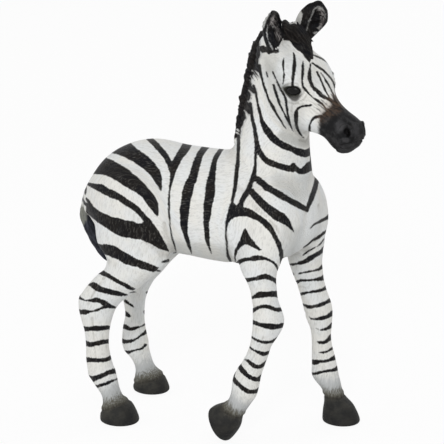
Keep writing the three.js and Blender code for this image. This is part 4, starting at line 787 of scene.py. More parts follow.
def near_side_twins(points, turns):
    """How far each point lies on the far side, its near side's twin, and the mirror's direction."""
    away = np.stack([-np.sin(turns), np.cos(turns), np.zeros(len(turns))], 1)
    beyond = ((points - np.array(MIRROR_PIVOT) * MM) * away).sum(1)
    twins = points - 2 * np.maximum(beyond, 0)[:, None] * away
    behind = (points[:, 0] < -10 * MM) & (beyond > 0)
    twins[behind, 0] += np.interp(points[behind, 2] / MM, *np.array(HIND_STEPS).T) * MM
    return beyond, twins, away


def facing_view(points, normals):
    """How squarely each point faces the photograph's view: 1 is straight at it, 0 edge on."""
    toward = np.array(VIEW_PLACE) - points
    toward /= np.linalg.norm(toward, axis=1)[:, None]
    return (normals * toward).sum(1)


# How squarely a point on the far side has to face the view to keep the paint that the photograph shows there
FACING_REACH = 0.35
HEAD_FACING_REACH = 0.15
# The forelegs, in millimetres, where the far side's own paint shows whichever way it faces
FORELEG_BACK = 5
FORELEG_TOP = 36
FORELEG_BLEND = 3
# How squarely a surface faces the view where its brushed edges waver in full, and their least share edge on
STEADY_FACING = 0.5
LEAST_STEADY = 0.12


class Sight:
    """Where the points of a surface show in the photograph, on their own side and on the mirrored one."""

    def __init__(self, points, normals, head_share, spread):
        facing = facing_view(points, normals)
        self.beyond, twins, away = near_side_twins(points, mirror_turns(points, head_share))
        turned = normals - 2 * ((self.beyond > 0) * (normals * away).sum(1))[:, None] * away
        reach = FACING_REACH + (HEAD_FACING_REACH - FACING_REACH) * np.clip(head_share * 2 - 1, 0, 1)
        seen = np.clip(1 + facing / reach, 0, 1)
        foreleg = (points[:, 0] > FORELEG_BACK * MM) & (points[:, 2] < FORELEG_TOP * MM)
        low = np.clip((FORELEG_TOP - points[foreleg, 2] / MM) / FORELEG_BLEND, 0, 1)
        seen[foreleg] = np.maximum(seen[foreleg], low)
        seen[self.beyond <= 0] = 1
        self.facing = facing
        square_on = np.where(seen > 0.5, np.abs(facing), np.abs(facing_view(twins, turned)))
        self.steady = spread(np.clip(square_on / STEADY_FACING, LEAST_STEADY, 1))
        self.seen = spread(eased(seen))
        self.direct, self.mirrored = pixels_of(points), pixels_of(twins)

    def painted(self, patches=(), stripes=()):
        own = painted_depth(self.direct, patches, stripes)
        other = painted_depth(self.mirrored, patches, stripes)
        return other + self.seen * (own - other)

    def twin_painted(self, patches=(), stripes=()):
        """The same on both sides, as the near side has it."""
        return painted_depth(self.mirrored, patches, stripes)


def hill(depth, middle, width):
    """1 where a depth is at its middle, falling away on both sides."""
    return np.exp(-((depth - middle) / width) ** 2)


def ridge(depth, name):
    """The relief of a named ridge or groove at each depth, in millimetres."""
    height, middle, width = RIDGES[name]
    return height * hill(depth, middle, width)


def fitted_ears(pixels):
    """How far, in the photograph's pixels, each point moves for the ears to fill their outlines."""
    across, down = pixels.T
    far, near_ear = skin_owners == HEAD_NUMBERS[1], skin_owners == HEAD_NUMBERS[2]
    raised = np.clip((38 - down) / 34, 0, 1.1) * far
    widened = 3.4 * np.clip((across - 309) / 14, 0, 1.1)
    widened *= np.clip(raised * 2.2, 0, 1) * np.clip((down - 2) / 9, 0, 1)
    widened += 1.2 * far * hill(down, 24, 8) * np.clip((across - 312) / 8, 0, 1)
    widened -= 2.5 * near_ear * np.clip((271 - across) / 7, 0, 1) * hill(down, 21, 8)
    lifted = raised * (1.6 + 1.8 * hill(across, 314, 7) - 1.2 * np.clip((across - 320) / 6, 0, 1))
    return np.outer(widened, VIEW_RIGHT) + np.outer(lifted, VIEW_UP)


def mane_lie(pixels):
    """Places in millimetres along and across the mane's hair, which leans towards the head."""
    return pixels @ np.array(((0.64, 0.77), (0.77, -0.64))).T * MM_PER_PIXEL


def each_foot(points, owners):
    """Each foot's name, its leg's points, their places from its sole, its way up, and the heights of its hoof
    and of the grey above it, in millimetres."""
    for name, (sole, up, hoof, grey) in FEET.items():
        leg = owners == SKIN_NODES.index(name)
        yield name, leg, points[leg] / MM - np.array(sole), np.array(up), hoof, grey


def face_relief(sight):
    """How far the eyes, lids and nostrils stand out of the face or are sunk into it, in millimetres."""
    eye, nostril = sight.twin_painted([EYE_OPENING]), sight.twin_painted([NOSTRIL_OPENING])
    ball = EYEBALL_RISE * (1 - np.exp(-np.clip(eye - 0.06, 0, None) / 0.3))
    lids = ridge(eye, "lid") + ridge(eye, "lid's edge") + ridge(eye, "fold round the lids")
    return ball + lids + ridge(nostril, "nostril's rim") - NOSTRIL_DROP * np.clip(nostril / 0.5 + 0.1, 0, 1)


def sculpted(points, normals, head_share, spread):
    """The skin with the eyes, nostrils, mouth, joints and muscles cut into it."""
    sight = Sight(points, normals, head_share, spread)
    lift = np.zeros(len(points))
    for line, widths, height in FOLDS.values():
        lift += height * fold_share(sight.mirrored, stripe_line(line, widths))
    face = np.clip(head_share * 2 - 1, 0, 1)
    lift += face * face_relief(sight)
    on_far_ear = skin_owners == HEAD_NUMBERS[1]
    lift += FAR_EAR_RISE * spread(fold_share(sight.direct, stripe_line(*FAR_EAR_BACK)) * on_far_ear)
    points = points + fitted_ears(sight.direct) * MM_PER_PIXEL * MM
    far_brow = fold_share(sight.direct, stripe_line(*FAR_BROW)) * face * (sight.beyond > 0)
    lift -= FAR_BROW_DROP * spread(far_brow)
    along, across = mane_lie(sight.mirrored).T
    mane_foot = np.clip(sight.twin_painted([MANE_FOOT]) / 0.4, 0, 1) * ~on_far_ear
    lift += MANE_FOOT_RISE * mane_foot * np.sin(8.2 * across + 0.9 * np.sin(1.6 * along))
    for name, leg, offset, up, hoof, _ in each_foot(points, skin_owners):
        height = offset @ up
        lift[leg] += ridge(height - hoof, "coronet") + ridge(height - hoof, "groove below the coronet")
        flare = (FLARES[name] - 1) * np.clip((hoof + 0.6 - height) / 1.4, 0, 1)[:, None]
        points[leg] += flare * (offset - np.outer(height, up)) * (MM, MM, 0)
    return points + (lift * MM)[:, None] * normals


def feet(points, owners):
    """How far above its hoof each point lies, as a share of the grey part of the pastern."""
    share = np.full(len(points), 3.0)
    for _, leg, offset, up, hoof, grey in each_foot(points, owners):
        share[leg] = np.clip((offset @ up - hoof) / grey, -2, 3)
    return share


def foot_places(points, owners):
    """Points in millimetres measured up from the sole of their own foot, then sideways."""
    places = points / MM
    for _, leg, offset, up, _, _ in each_foot(points, owners):
        ahead = np.array((up[2], 0, -up[0]))
        places[leg] = np.stack([offset @ up, offset @ ahead, offset[:, 1]], 1)
    return places


def hollows(points, normals, steps):
    """How deep each point lies between its neighbours, from 0 to 1."""
    sunk = ((smoother.spread(points, steps, 0.8) - points) * normals).sum(1)
    return np.clip(sunk / np.percentile(sunk, 97), 0, 1)


def hair_places(name, points):
    """Points in millimetres measured along a piece's hair, across it and out of it."""
    parent, pivot, angle = HAIR_LIE[name]
    origin = hair_places(parent, np.array([pivot]))[0] if parent else np.zeros(3)
    fall = math.radians(angle)
    along = np.array((-math.cos(fall), 0, -math.sin(fall)))
    outward = np.array((-math.sin(fall), 0, math.cos(fall)))
    offset = points - np.array(pivot)
    return np.stack([offset @ along, offset[:, 1], offset @ outward], 1) + origin


def combed(points, masks, steps):
    """The hair's places over the whole skin, turning gradually from piece to piece."""
    shares = smoother.spread(masks, steps)
    shares /= shares.sum(1)[:, None]
    places = np.zeros_like(points)
    for number, name in enumerate(SKIN_NODES):
        here = shares[:, number] > 1e-4
        places[here] += shares[here, number, None] * hair_places(name, points[here] / MM)
    return places


def ear_backs(points, owners):
    """How deep each point of an ear lies in the pale band across its back."""
    depth = np.full(len(points), -PAINT_REACH * MM_PER_PIXEL)
    for name in ("ear_left", "ear_right"):
        ear = owners == SKIN_NODES.index(name)
        low, high = points[ear, 2].min() / MM, points[ear, 2].max() / MM
        height = points[ear, 2] / MM
        foot, tip = low + 0.42 * (high - low), low + 0.86 * (high - low)
        depth[ear] = np.clip(np.minimum(height - foot, tip - height), -1.1, 1.1)
    return depth


skin_normals = vertex_normals(skin_points, skin_faces)
skin_points = sculpted(skin_points, skin_normals, head_share, lambda values: smoother.spread(values, 5))
skin_normals = vertex_normals(skin_points, skin_faces)


def mane_combed(places, sight):
    """The hair's places, turned to the mane's lie at the mane's foot."""
    share = np.clip(sight.twin_painted([MANE_FOOT]) / 0.6 + 0.5, 0, 1)[:, None]
    lie = mane_lie(sight.mirrored)
    return places + share * (np.column_stack([lie, places[:, 2]]) - places)


def tufted(sight, patches):
    """The mane's black paint, with the pale and dark hairs at its foot."""
    depth = sight.painted(patches)
    pale, dark = sight.painted(stripes=PALE_TUFTS), sight.painted(stripes=DARK_TUFTS)
    return np.maximum(np.minimum(depth, -pale), dark)


def painted_light_share(sight, patches):
    """How strongly painted light lies at each point: painted shade over the coat from one table, painted
    highlights on the muzzle from the other.
    """
    total = np.zeros(len(skin_points))
    for outline, strength, softness in patches.values():
        depth = np.clip(sight.painted([outline]) / softness + 0.5, 0, 1)
        total += strength * eased(depth)
    return total


def skin_paint():
    """Every value that the skin's finishes read, by name."""
    sight = Sight(skin_points, skin_normals, head_share, lambda values: smoother.spread(values, 6))
    stripes = [*TAIL_MARKS, *(stripe for group in STRIPES.values() for stripe in group)]
    reach = np.where(sight.beyond > 0, MANE_FOOT_FAR_REACH - sight.beyond / MM, MANE_FOOT_DEPTH)
    mane_foot = np.minimum(tufted(sight, [MANE_FOOT]), reach)
    sunk = 0.35 * hollows(skin_points, skin_normals, 4) + 0.45 * hollows(skin_points, skin_normals, 30)
    values = {name: sight.twin_painted([outline]) for name, outline in TWIN_SHAPES.items()} | {
        "stripe": np.maximum(sight.painted([*PATCHES.values(), EAR_FOOT], stripes), mane_foot),
        "muzzle": sight.painted([MUZZLE]),
        "brown": sight.painted([BROWN_BRIDGE]),
        "nose_streak": sight.painted(stripes=NOSE_STREAKS),
        "steady": sight.steady,
        # painted shade over the coat, and painted highlights on the muzzle
        "painted_shade": painted_light_share(sight, PAINTED_SHADES),
        "sheen": painted_light_share(sight, SHEENS),
        "foot": feet(skin_points, skin_owners),
        "hollow": sunk,
        "hair": mane_combed(combed(skin_points, skin_masks, 60), sight),
        "foot_places": foot_places(skin_points, skin_owners),
    }
    face = head_share > 0.5
    covered = face & (sight.beyond > 0)
    under = painted_depth(sight.direct, [UNDER_FORELOCK])
    values["stripe"][covered] = np.maximum(values["stripe"], under)[covered]
    for name in (*TWIN_SHAPES, "brown", "muzzle", "nose_streak"):
        values[name][~face] = -PAINT_REACH * MM_PER_PIXEL
    backs = ear_backs(skin_points, skin_owners)
    front = np.clip(1 + sight.facing / 0.3, 0, 1)
    values["pale"] = backs + front * (painted_depth(sight.direct, EAR_PALE, EAR_LINES) - backs)
    forward = np.clip(0.3 - skin_normals[:, 0], -0.4, 0.4) * 3
    far_ear = (skin_owners == HEAD_NUMBERS[1]) & (sight.direct[:, 0] < 304)
    values["pale"][far_ear] = np.minimum(values["pale"], forward)[far_ear]
    values["paleness"] = 0.88 - 0.3 * np.clip(front, 0, 1)
    values["fuzz"] = painted_depth(sight.direct, EAR_FUZZ)
    return values


# The values that the coat's finish and the ears' finish read
COAT_VALUES = (
    "steady", "painted_shade", "sheen", "stripe", "muzzle", "brown", "nose_streak", "eye", "eye_surround", "lower_lid",
    "nostril", "foot", "hollow", "hair", "foot_places",
)
EAR_VALUES = ("pale", "paleness", "fuzz", "hollow", "hair")


def store(mesh, values):
    """Keeps named values at a mesh's points, for its finish to read."""
    for name, value in values.items():
        vector = value.ndim == 2
        kept = mesh.attributes.new(name, "FLOAT_VECTOR" if vector else "FLOAT", "POINT")
        rows = np.zeros((len(mesh.vertices),) + value.shape[1:], np.float32)
        rows[:len(value)] = value
        kept.data.foreach_set("vector" if vector else "value", rows.ravel())


def rim_fans(points, faces):
    """Triangles that close each rim of a piece with a fan to the rim's middle."""
    ahead = np.vstack([np.stack([faces[:, i], faces[:, (i + 1) % 4]], 1) for i in range(4)])
    known = {tuple(pair) for pair in ahead.tolist()}
    rim = [pair for pair in ahead.tolist() if (pair[1], pair[0]) not in known]
    group = {}

    def root(i):
        while group.setdefault(i, i) != i:
            i = group[i]
        return i

    for a, b in rim:
        group[root(a)] = root(b)
    middles = {}
    for a, _ in rim:
        middles.setdefault(root(a), []).append(a)
    numbers = {key: len(points) + i for i, key in enumerate(middles)}
    centres = np.array([points[members].mean(0) for members in middles.values()]).reshape(-1, 3)
    fans = np.array([(b, a, numbers[root(a)]) for a, b in rim]).reshape(-1, 3)
    return np.vstack([points, centres]), fans


def add_piece(name, mesh, node, finish):
    piece = bpy.data.objects.new(name, mesh)
    bpy.context.scene.collection.objects.link(piece)
    piece.data.materials.append(finish)
    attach(piece, "root")
    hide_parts(node)
    return piece


def split_skin(values, coat, ear):
    """The skin as one closed piece for each node, with shading that runs on across the joints."""
    for number, node in enumerate(SKIN_NODES):
        faces = skin_faces[face_owners == number]
        used, index = np.unique(faces, return_inverse=True)
        faces = index.reshape(-1, 4)
        points, fans = rim_fans(skin_points[used], faces)
        mesh = mesh_from(node, points, faces, fans)
        mesh.shade_smooth()
        normals = np.zeros_like(points)
        normals[:len(used)] = skin_normals[used]
        mesh.normals_split_custom_set_from_vertices(normals.tolist())
        is_ear = node.startswith("ear")
        store(mesh, {name: values[name][used] for name in (EAR_VALUES if is_ear else COAT_VALUES)})
        add_piece(node + "_skin", mesh, node, ear if is_ear else coat)


# Lines that the hair stands on, in millimetres: place, how high the hair stands there, and half its width
MANE_LINE = (
    (3.6, -0.5, 57.6, 0.6, 0.65), (4.6, -0.3, 60.6, 1.35, 0.95), (5.7, -0.1, 64.8, 1.75, 1.15),
    (6.8, 0.1, 69.5, 1.95, 1.4), (7.9, 0.1, 73.6, 2.25, 1.55), (9.2, 0, 76.4, 2.15, 1.6),
    (11.3, -0.5, 78.7, 1.8, 1.55), (12.8, -0.9, 79.9, 1.6, 1.5),
)
FORELOCK_LINE = (
    (12.8, -0.9, 79.9, 1.5, 1.5), (14.3, -1.4, 79.4, 1.9, 1.95), (15.7, -1.8, 78.6, 2.1, 2.3),
    (17.7, -2.4, 77.2, 1.5, 2.15), (19.3, -2.9, 75.9, 0.85, 1.2), (20.3, -3.2, 75.1, 0.35, 0.3),
)
# The tail's middle line, with its half depth and half width
TAIL_LINE = (
    (-29.6, -0.74, 44.6, 0.9, 0.85), (-30.2, -0.74, 42.9, 1, 1), (-30.5, -0.74, 40.4, 1.2, 1.4),
    (-30.4, -0.74, 37.6, 1.4, 1.75), (-29.3, -0.74, 34.8, 1.35, 1.7), (-27.6, -0.74, 32.3, 0.95, 1.2),
    (-26, -0.74, 30.4, 0.5, 0.6), (-25.1, -0.74, 29.6, 0.2, 0.25),
)
HAIR_GRAIN = 0.13 * MM
STRAND_SIDES = 6
BODY_SIDE = np.array((0.0, 1.0, 0.0))
HEAD_SIDE = np.array(HEAD_BASIS @ Vector((0, 1, 0)))


def strand(points, radii):
    """A tapered strand of hair along some points, closed at both ends."""
    points = np.array(points, float)
    onward = np.gradient(points, axis=0)
    onward /= np.linalg.norm(onward, axis=1)[:, None]
    side = np.cross(onward, [0.31, 0.59, 0.75])
    side /= np.linalg.norm(side, axis=1)[:, None]
    out = np.cross(onward, side)
    angles = np.linspace(0, 2 * np.pi, STRAND_SIDES, endpoint=False)
    rings = [p + r * (np.outer(np.cos(angles), s) + np.outer(np.sin(angles), o))
             for p, r, s, o in zip(points, radii, side, out)]
    ends = [points[0] - onward[0] * radii[0], points[-1] + onward[-1] * radii[-1]]
    body = np.vstack(rings + [ends])
    faces = []
    last = len(body) - 1
    for i in range(STRAND_SIDES):
        j = (i + 1) % STRAND_SIDES
        faces.append((last - 1, j, i))
        for ring in range(len(points) - 1):
            a, b = ring * STRAND_SIDES, (ring + 1) * STRAND_SIDES
            faces += [(a + i, a + j, b + j), (a + i, b + j, b + i)]
        top = (len(points) - 1) * STRAND_SIDES
        faces.append((last, top + i, top + j))
    return body, np.array(faces)


def line_frame(line, share):
    """Place, onward direction, and the row's last two numbers, at a share along a line."""
    row = along_line(line, share)
    onward = along_line(line, min(share + 0.02, 1))[:3] - along_line(line, max(share - 0.02, 0))[:3]
    return row[:3], onward / np.linalg.norm(onward), row[3], row[4]


def mane_strands(random):
    """Bristles that stand up both sides of the crest and meet along its top, in clumps that lean together."""
    strands = []
    for number, share in enumerate(np.arange(0.008, 0.985, 0.0155)):
        clump = math.sin(61 * share) + 0.5 * math.sin(137 * share + 1)
        for row in (-1, -0.6, -0.2, 0.2, 0.6, 1):
            here = min(max(share + 0.004 * (number % 2) + random.uniform(-0.003, 0.003), 0), 1)
            place, onward, height, half = line_frame(MANE_LINE, here)
            side = HEAD_SIDE * here + BODY_SIDE * (1 - here)
            out = np.cross(onward, side)
            out /= np.linalg.norm(out)
            tall = height * (1.16 + 0.07 * clump) * random.uniform(0.95, 1.05) * (1 - 0.14 * abs(row))
            lean = onward * (0.22 + 0.14 * clump + random.uniform(-0.05, 0.05))
            points = [place + side * half * row * spread + (out * rise + lean * (rise - 0.6)) * tall
                      for rise, spread in ((-0.15, 1.04), (0.25, 1.08), (0.65, 0.84), (1.0, 0.34))]
            strands.append(strand(np.array(points) * MM, np.array([0.2, 0.29, 0.28, 0.14]) * MM))
    return strands


def forelock_strands(random):
    """Wavy locks that fall forward from the poll and meet in a point on the forehead."""
    strands = []
    for layer in range(3):
        for row in np.linspace(-1, 1, 9) + 0.12 * (layer - 1):
            reach = (1 - 0.42 * abs(row)) * random.uniform(0.78, 1.0)
            wave = random.uniform(-0.5, 0.5)
            points = []
            for step in np.linspace(0.02 + 0.14 * layer, reach, 10):
                place, onward, height, half = line_frame(FORELOCK_LINE, step)
                out = np.cross(onward, HEAD_SIDE)
                rise = height * math.sqrt(max(1 - (0.8 * row) ** 2, 0.1)) * (1.04 - 0.08 * layer)
                rise += 0.16 * math.sin(17 * step + 2.5 * row + wave + layer)
                sway = 0.16 * math.sin(12 * step + 2 * row + wave + 2 * layer)
                points.append(place + HEAD_SIDE * half * (row * 0.9 + sway) + out * rise)
            radii = np.array([0.2, 0.27, 0.3, 0.31, 0.3, 0.29, 0.26, 0.22, 0.16, 0.07]) * MM
            strands.append(strand(np.array(points) * MM, radii))
    return strands


def tail_strands(random):
    """Locks that lie along the tuft, bunched towards its tip."""
    strands = []
    for turn in np.linspace(0, 2 * np.pi, 22, endpoint=False):
        for layer in range(2):
            first = random.uniform(0.1, 0.3) + 0.2 * layer
            last = random.uniform(0.8, 1.0)
            points = []
            for step in np.linspace(first, last, 8):
                place, onward, depth, width = line_frame(TAIL_LINE, step)
                out = np.cross(BODY_SIDE, onward)
                angle = turn + 0.5 * (step - 0.5) + 0.15 * layer
                shell = 0.96 + 0.05 * math.sin(3 * turn + 7 * step)
                round_it = BODY_SIDE * width * math.sin(angle) + out * depth * math.cos(angle)
                points.append(place + shell * round_it)
            radii = np.array([0.1, 0.2, 0.25, 0.28, 0.28, 0.24, 0.17, 0.08]) * MM
            strands.append(strand(np.array(points) * MM, radii))
    return strands


def line_places(points, line):
    """Points in millimetres measured along a line, sideways from it and out from it."""
    rows = np.array([along_line(line, share)[:3] for share in np.linspace(0, 1, 80)])
    runs = np.concatenate([[0], np.cumsum(np.linalg.norm(np.diff(rows, axis=0), axis=1))])
    nearest = ((points[:, None, :] / MM - rows[None]) ** 2).sum(2).argmin(1)
    offset = points / MM - rows[nearest]
    onward = np.gradient(rows, axis=0)[nearest]
    onward /= np.linalg.norm(onward, axis=1)[:, None]
    run = runs[nearest] + (offset * onward).sum(1)
    outward = np.cross(onward, (0, 1, 0))
    outward /= np.linalg.norm(outward, axis=1)[:, None]
    return np.stack([run, offset[:, 1], (offset * outward).sum(1)], 1)


def parted(points, node):
    """The mane with its forelock parted, and the tail with its tuft drawn in, as the photograph shows."""
    pixels = pixels_of(points)
    if node == "tail":
        edge = np.interp(pixels[:, 1], (216, 230, 240, 250, 260), (93, 94, 97, 102.5, 107))
        drawn = np.interp(pixels[:, 1], (214, 228, 236, 248, 258), (0, 0.24, 0.34, 0.3, 0))
        inward = np.maximum(edge - pixels[:, 0], 0) * drawn
        return points + np.outer(inward, VIEW_RIGHT) * MM_PER_PIXEL * MM
    dip = hill(pixels[:, 0], 289.5, 2.6) * np.clip((31 - pixels[:, 1]) / 9, 0, 1)
    tuft = hill(pixels[:, 0], 295.5, 2.4) * np.clip((31 - pixels[:, 1]) / 9, 0, 1)
    rise = (1.2 * tuft - 2.8 * dip) * MM_PER_PIXEL * MM
    return points + np.outer(rise, VIEW_UP)


def hair_piece(node, strands, finish, paint):
    """A moulded mass of hair: the piece's own form with strands laid on it, painted."""
    points, faces = redrawn(node, *stacked([node_solid(node, 0.05 * MM), *strands]), HAIR_GRAIN)
    smooth = Smoother(len(points), edges_of(faces))
    points = smooth.spread(points, 2, 0.4)
    points = parted(points, node)
    normals = vertex_normals(points, faces)
    sight = Sight(points, normals, np.zeros(len(points)), lambda values: smooth.spread(values, 4))
    mesh = mesh_from(node, points, faces)
    mesh.shade_smooth()
    sunk = ((smooth.spread(points, 12, 0.8) - points) * normals).sum(1)
    store(mesh, paint(points, sight) | {"hollow": np.clip(sunk / np.percentile(sunk, 95), -1, 1)})
    return add_piece(node + "_hair", mesh, node, finish)


def mane_paint(points, sight):
    places = line_places(points, MANE_LINE)[:, [2, 1, 0]]
    lock = line_places(points, FORELOCK_LINE)
    ahead = np.clip((points[:, :1] / MM - 12.5) / 2, 0, 1)
    return {"stripe": tufted(sight, [MANE_FOOT, LOCK_OUTLINE]), "hair": places + ahead * (lock - places)}


def tail_paint(points, sight):
    down = np.clip((sight.direct[:, 1] - 203) / 5, 0, 1)
    return {
        "stripe": sight.painted([TAIL_DARK], TAIL_MARKS), "tuft": down,
        "hair": line_places(points, TAIL_LINE),
    }


def tone(red, green, blue):
    """A colour, given in the 0 to 255 that pictures use, as light."""
    parts = np.array((red, green, blue)) / 255
    light = np.where(parts <= 0.04045, parts / 12.92, ((parts + 0.055) / 1.055) ** 2.4)
    return (*light.tolist(), 1)


WHITE = (1, 1, 1, 1)
PAINT = {name: tone(*parts) for name, parts in {
    "cool white": (226, 228, 228), "warm white": (228, 227, 222), "white's streaks": (172, 172, 168),
    "white's shade in hollows": (146, 142, 134), "cold black": (19, 20, 24), "warm black": (27, 25, 24),
    "black's streaks": (112, 110, 106), "painted shade's grey": (138, 139, 134), "upper pastern": (182, 184, 184),
    "lower pastern": (118, 119, 113), "muzzle": (27, 27, 28), "muzzle's spots": (56, 56, 57),
    "muzzle's painted highlight": (98, 97, 99), "brown muzzle": (88, 72, 60), "muzzle's shade in hollows": (22, 22, 22),
    "brown bridge": (132, 110, 92), "nose's streaks": (24, 21, 20), "nostril": (12, 11, 11),
    "dark horn": (48, 48, 47), "pale horn": (63, 62, 58), "horn's foot": (34, 34, 35),
    "horn's shade in hollows": (24, 24, 25), "coronet": (90, 86, 76), "eye's shadow": (30, 30, 26),
    "shadow's streaks": (52, 52, 46), "lower lid": (104, 103, 101), "eye": (9, 8, 8),
    "ear's dark hairs": (36, 34, 34), "ear's pale hairs": (142, 138, 136), "mane's tips": (92, 84, 80),
    "tuft's sheen": (66, 69, 78), "tail's grey": (84, 86, 82), "tail's pale grey": (138, 139, 131),
    "tail's shade in hollows": (52, 52, 50), "card": (238, 238, 238), "card's grain": (246, 246, 246),
}.items()}


class Nodes:
    """Places nodes in a tree; what goes into an input is either another node's output or a plain value."""

    def __init__(self, tree):
        self.tree = tree

    def put(self, kind, inputs=(), **settings):
        made = self.tree.nodes.new("ShaderNode" + kind)
        for name, value in settings.items():
            setattr(made, name, value)
        for socket, value in dict(inputs).items():
            self.join(value, made.inputs[socket])
        return made

    def join(self, value, socket):
        if isinstance(value, bpy.types.NodeSocket):
            self.tree.links.new(value, socket)
        else:
            socket.default_value = value

    def math(self, operation, first, second=0.0, third=0.0):
        return self.put("Math", {0: first, 1: second, 2: third}, operation=operation).outputs[0]

    def times(self, first, second):
        return self.math("MULTIPLY", first, second)

    def blend(self, share, first, second):
        return self.put("Mix", {0: share, 6: first, 7: second}, data_type="RGBA").outputs[2]

    def noise(self, places, scale, detail=2.0, rough=0.5, bent=0.0):
        sockets = {"Vector": places, "Scale": scale, "Detail": detail, "Roughness": rough, "Distortion": bent}
        return self.put("TexNoise", sockets).outputs[0]

    def stretched(self, places, stretch):
        return self.put("VectorMath", {0: places, 1: stretch}, operation="MULTIPLY").outputs[0]

    def stepped(self, value, low, high, to_low=0.0, to_high=1.0):
        sockets = {"Value": value, "From Min": low, "From Max": high, "To Min": to_low, "To Max": to_high}
        return self.put("MapRange", sockets, interpolation_type="SMOOTHSTEP").outputs[0]

    def kept(self, name, vector=False):
        return self.put("Attribute", attribute_name=name).outputs["Vector" if vector else "Fac"]

    def group(self, group, **inputs):
        made = self.put("Group", node_tree=group)
        for name, value in inputs.items():
            self.join(value, made.inputs[name.replace("_", " ").capitalize()])
        return made.outputs


def new_group(name, inputs, outputs):
    """An empty node group with named inputs, each with its usual value, and named outputs."""
    group = bpy.data.node_groups.new(name, "ShaderNodeTree")
    for label, value in inputs.items():
        kind = "NodeSocketFloat" if isinstance(value, (int, float)) else "NodeSocketVector"
        if isinstance(value, tuple) and len(value) == 4:
            kind = "NodeSocketColor"
        socket = group.interface.new_socket(label, in_out="INPUT", socket_type=kind)
        if value is not None:
            socket.default_value = value
    for label, kind in outputs.items():
        group.interface.new_socket(label, in_out="OUTPUT", socket_type="NodeSocket" + kind)
    entry, leaving = group.nodes.new("NodeGroupInput"), group.nodes.new("NodeGroupOutput")
    return group, Nodes(group), entry.outputs, leaving.inputs


def make_brushed_edge():
    """Where a painted shape is, with an edge that wavers as a fine brush leaves it."""
    group, nodes, given, out = new_group(
        "brushed edge", {"Depth": 0.0, "Places": None, "Waver": 0.1, "Softness": 0.05}, {"Mask": "Float"})
    hairs = nodes.noise(nodes.stretched(given["Places"], (1.7, 3.6, 3.6)), 1.0, 3.0, 0.6)
    slow = nodes.noise(given["Places"], 0.55, 1.0)
    both = nodes.math("ADD", nodes.times(hairs, 1.4), slow)
    drift = nodes.times(nodes.math("SUBTRACT", both, 1.2), given["Waver"])
    edge = nodes.math("ADD", given["Depth"], drift)
    rise = nodes.math("DIVIDE", edge, given["Softness"])
    nodes.join(nodes.stepped(rise, -1.0, 1.0), out["Mask"])
    return group


def make_short_hair():
    """The fine combed hair cut into the mould: its relief, and pale and dark streaks along it."""
    group, nodes, given, out = new_group(
        "short hair", {"Places": None, "Fineness": 1.0, "Depth": 1.0}, {"Relief": "Float", "Streak": "Float"})
    fine = nodes.put("VectorMath", {0: given["Places"], 3: given["Fineness"]}, operation="SCALE").outputs[0]
    drift = nodes.stretched(nodes.put("TexNoise", {"Vector": fine, "Scale": 0.3}).outputs[1], (0.5, 1.2, 1.2))
    bent = nodes.put("VectorMath", {0: fine, 1: drift}, operation="ADD").outputs[0]
    hairs = nodes.noise(nodes.stretched(bent, (0.5, 2.6, 2.6)), 1.0, 3.0, 0.6)
    locks = nodes.noise(nodes.stretched(bent, (0.22, 0.8, 0.8)), 1.0, 2.0, 0.5)
    relief = nodes.math("ADD", nodes.times(hairs, 0.6), nodes.times(locks, 0.8))
    nodes.join(nodes.times(relief, given["Depth"]), out["Relief"])
    streaks = nodes.noise(nodes.stretched(bent, (0.35, 2.0, 2.0)), 1.0, 4.0, 0.7)
    nodes.join(nodes.stepped(streaks, 0.3, 0.7), out["Streak"])
    return group


def make_pale_paint():
    """White paint that is cooler and creamier by turns, with painted shade, a thin grey, in the hollows."""
    group, nodes, given, out = new_group(
        "pale paint", {"Places": None, "Streak": 0.5, "Hollow": 0.0}, {"Color": "Color"})
    patches = nodes.stepped(nodes.noise(given["Places"], 0.16, 3.0), 0.35, 0.65)
    ground = nodes.blend(patches, PAINT["cool white"], PAINT["warm white"])
    streaks = nodes.stepped(given["Streak"], 0.0, 0.6, 0.36, 0.0)
    streaked = nodes.blend(streaks, ground, PAINT["white's streaks"])
    # painted shade: the white turns grey in the hollows
    painted_shade = nodes.times(given["Hollow"], nodes.stepped(given["Streak"], 0.0, 1.0, 0.62, 0.35))
    nodes.join(nodes.blend(painted_shade, streaked, PAINT["white's shade in hollows"]), out["Color"])
    return group


def make_dark_paint():
    """Black paint, warmer and bluer by turns, brushed thinner along some hairs."""
    group, nodes, given, out = new_group(
        "dark paint", {"Places": None, "Streak": 0.5, "Wear": 0.3}, {"Color": "Color"})
    patches = nodes.stepped(nodes.noise(given["Places"], 0.3, 2.0), 0.35, 0.65)
    ground = nodes.blend(patches, PAINT["cold black"], PAINT["warm black"])
    thin = nodes.times(nodes.stepped(given["Streak"], 0.55, 1.0), given["Wear"])
    nodes.join(nodes.blend(thin, ground, PAINT["black's streaks"]), out["Color"])
    return group


BRUSHED_EDGE = make_brushed_edge()
SHORT_HAIR = make_short_hair()
PALE_PAINT = make_pale_paint()
DARK_PAINT = make_dark_paint()


class Finish(Nodes):
    """A new finish, with its shader."""

    def __init__(self, name):
        self.finish = bpy.data.materials.new(name)
        self.finish.use_nodes = True
        super().__init__(self.finish.node_tree)
        self.shader = self.tree.nodes["Principled BSDF"]

    def feed(self, socket, value):
        self.join(value, self.shader.inputs[socket])


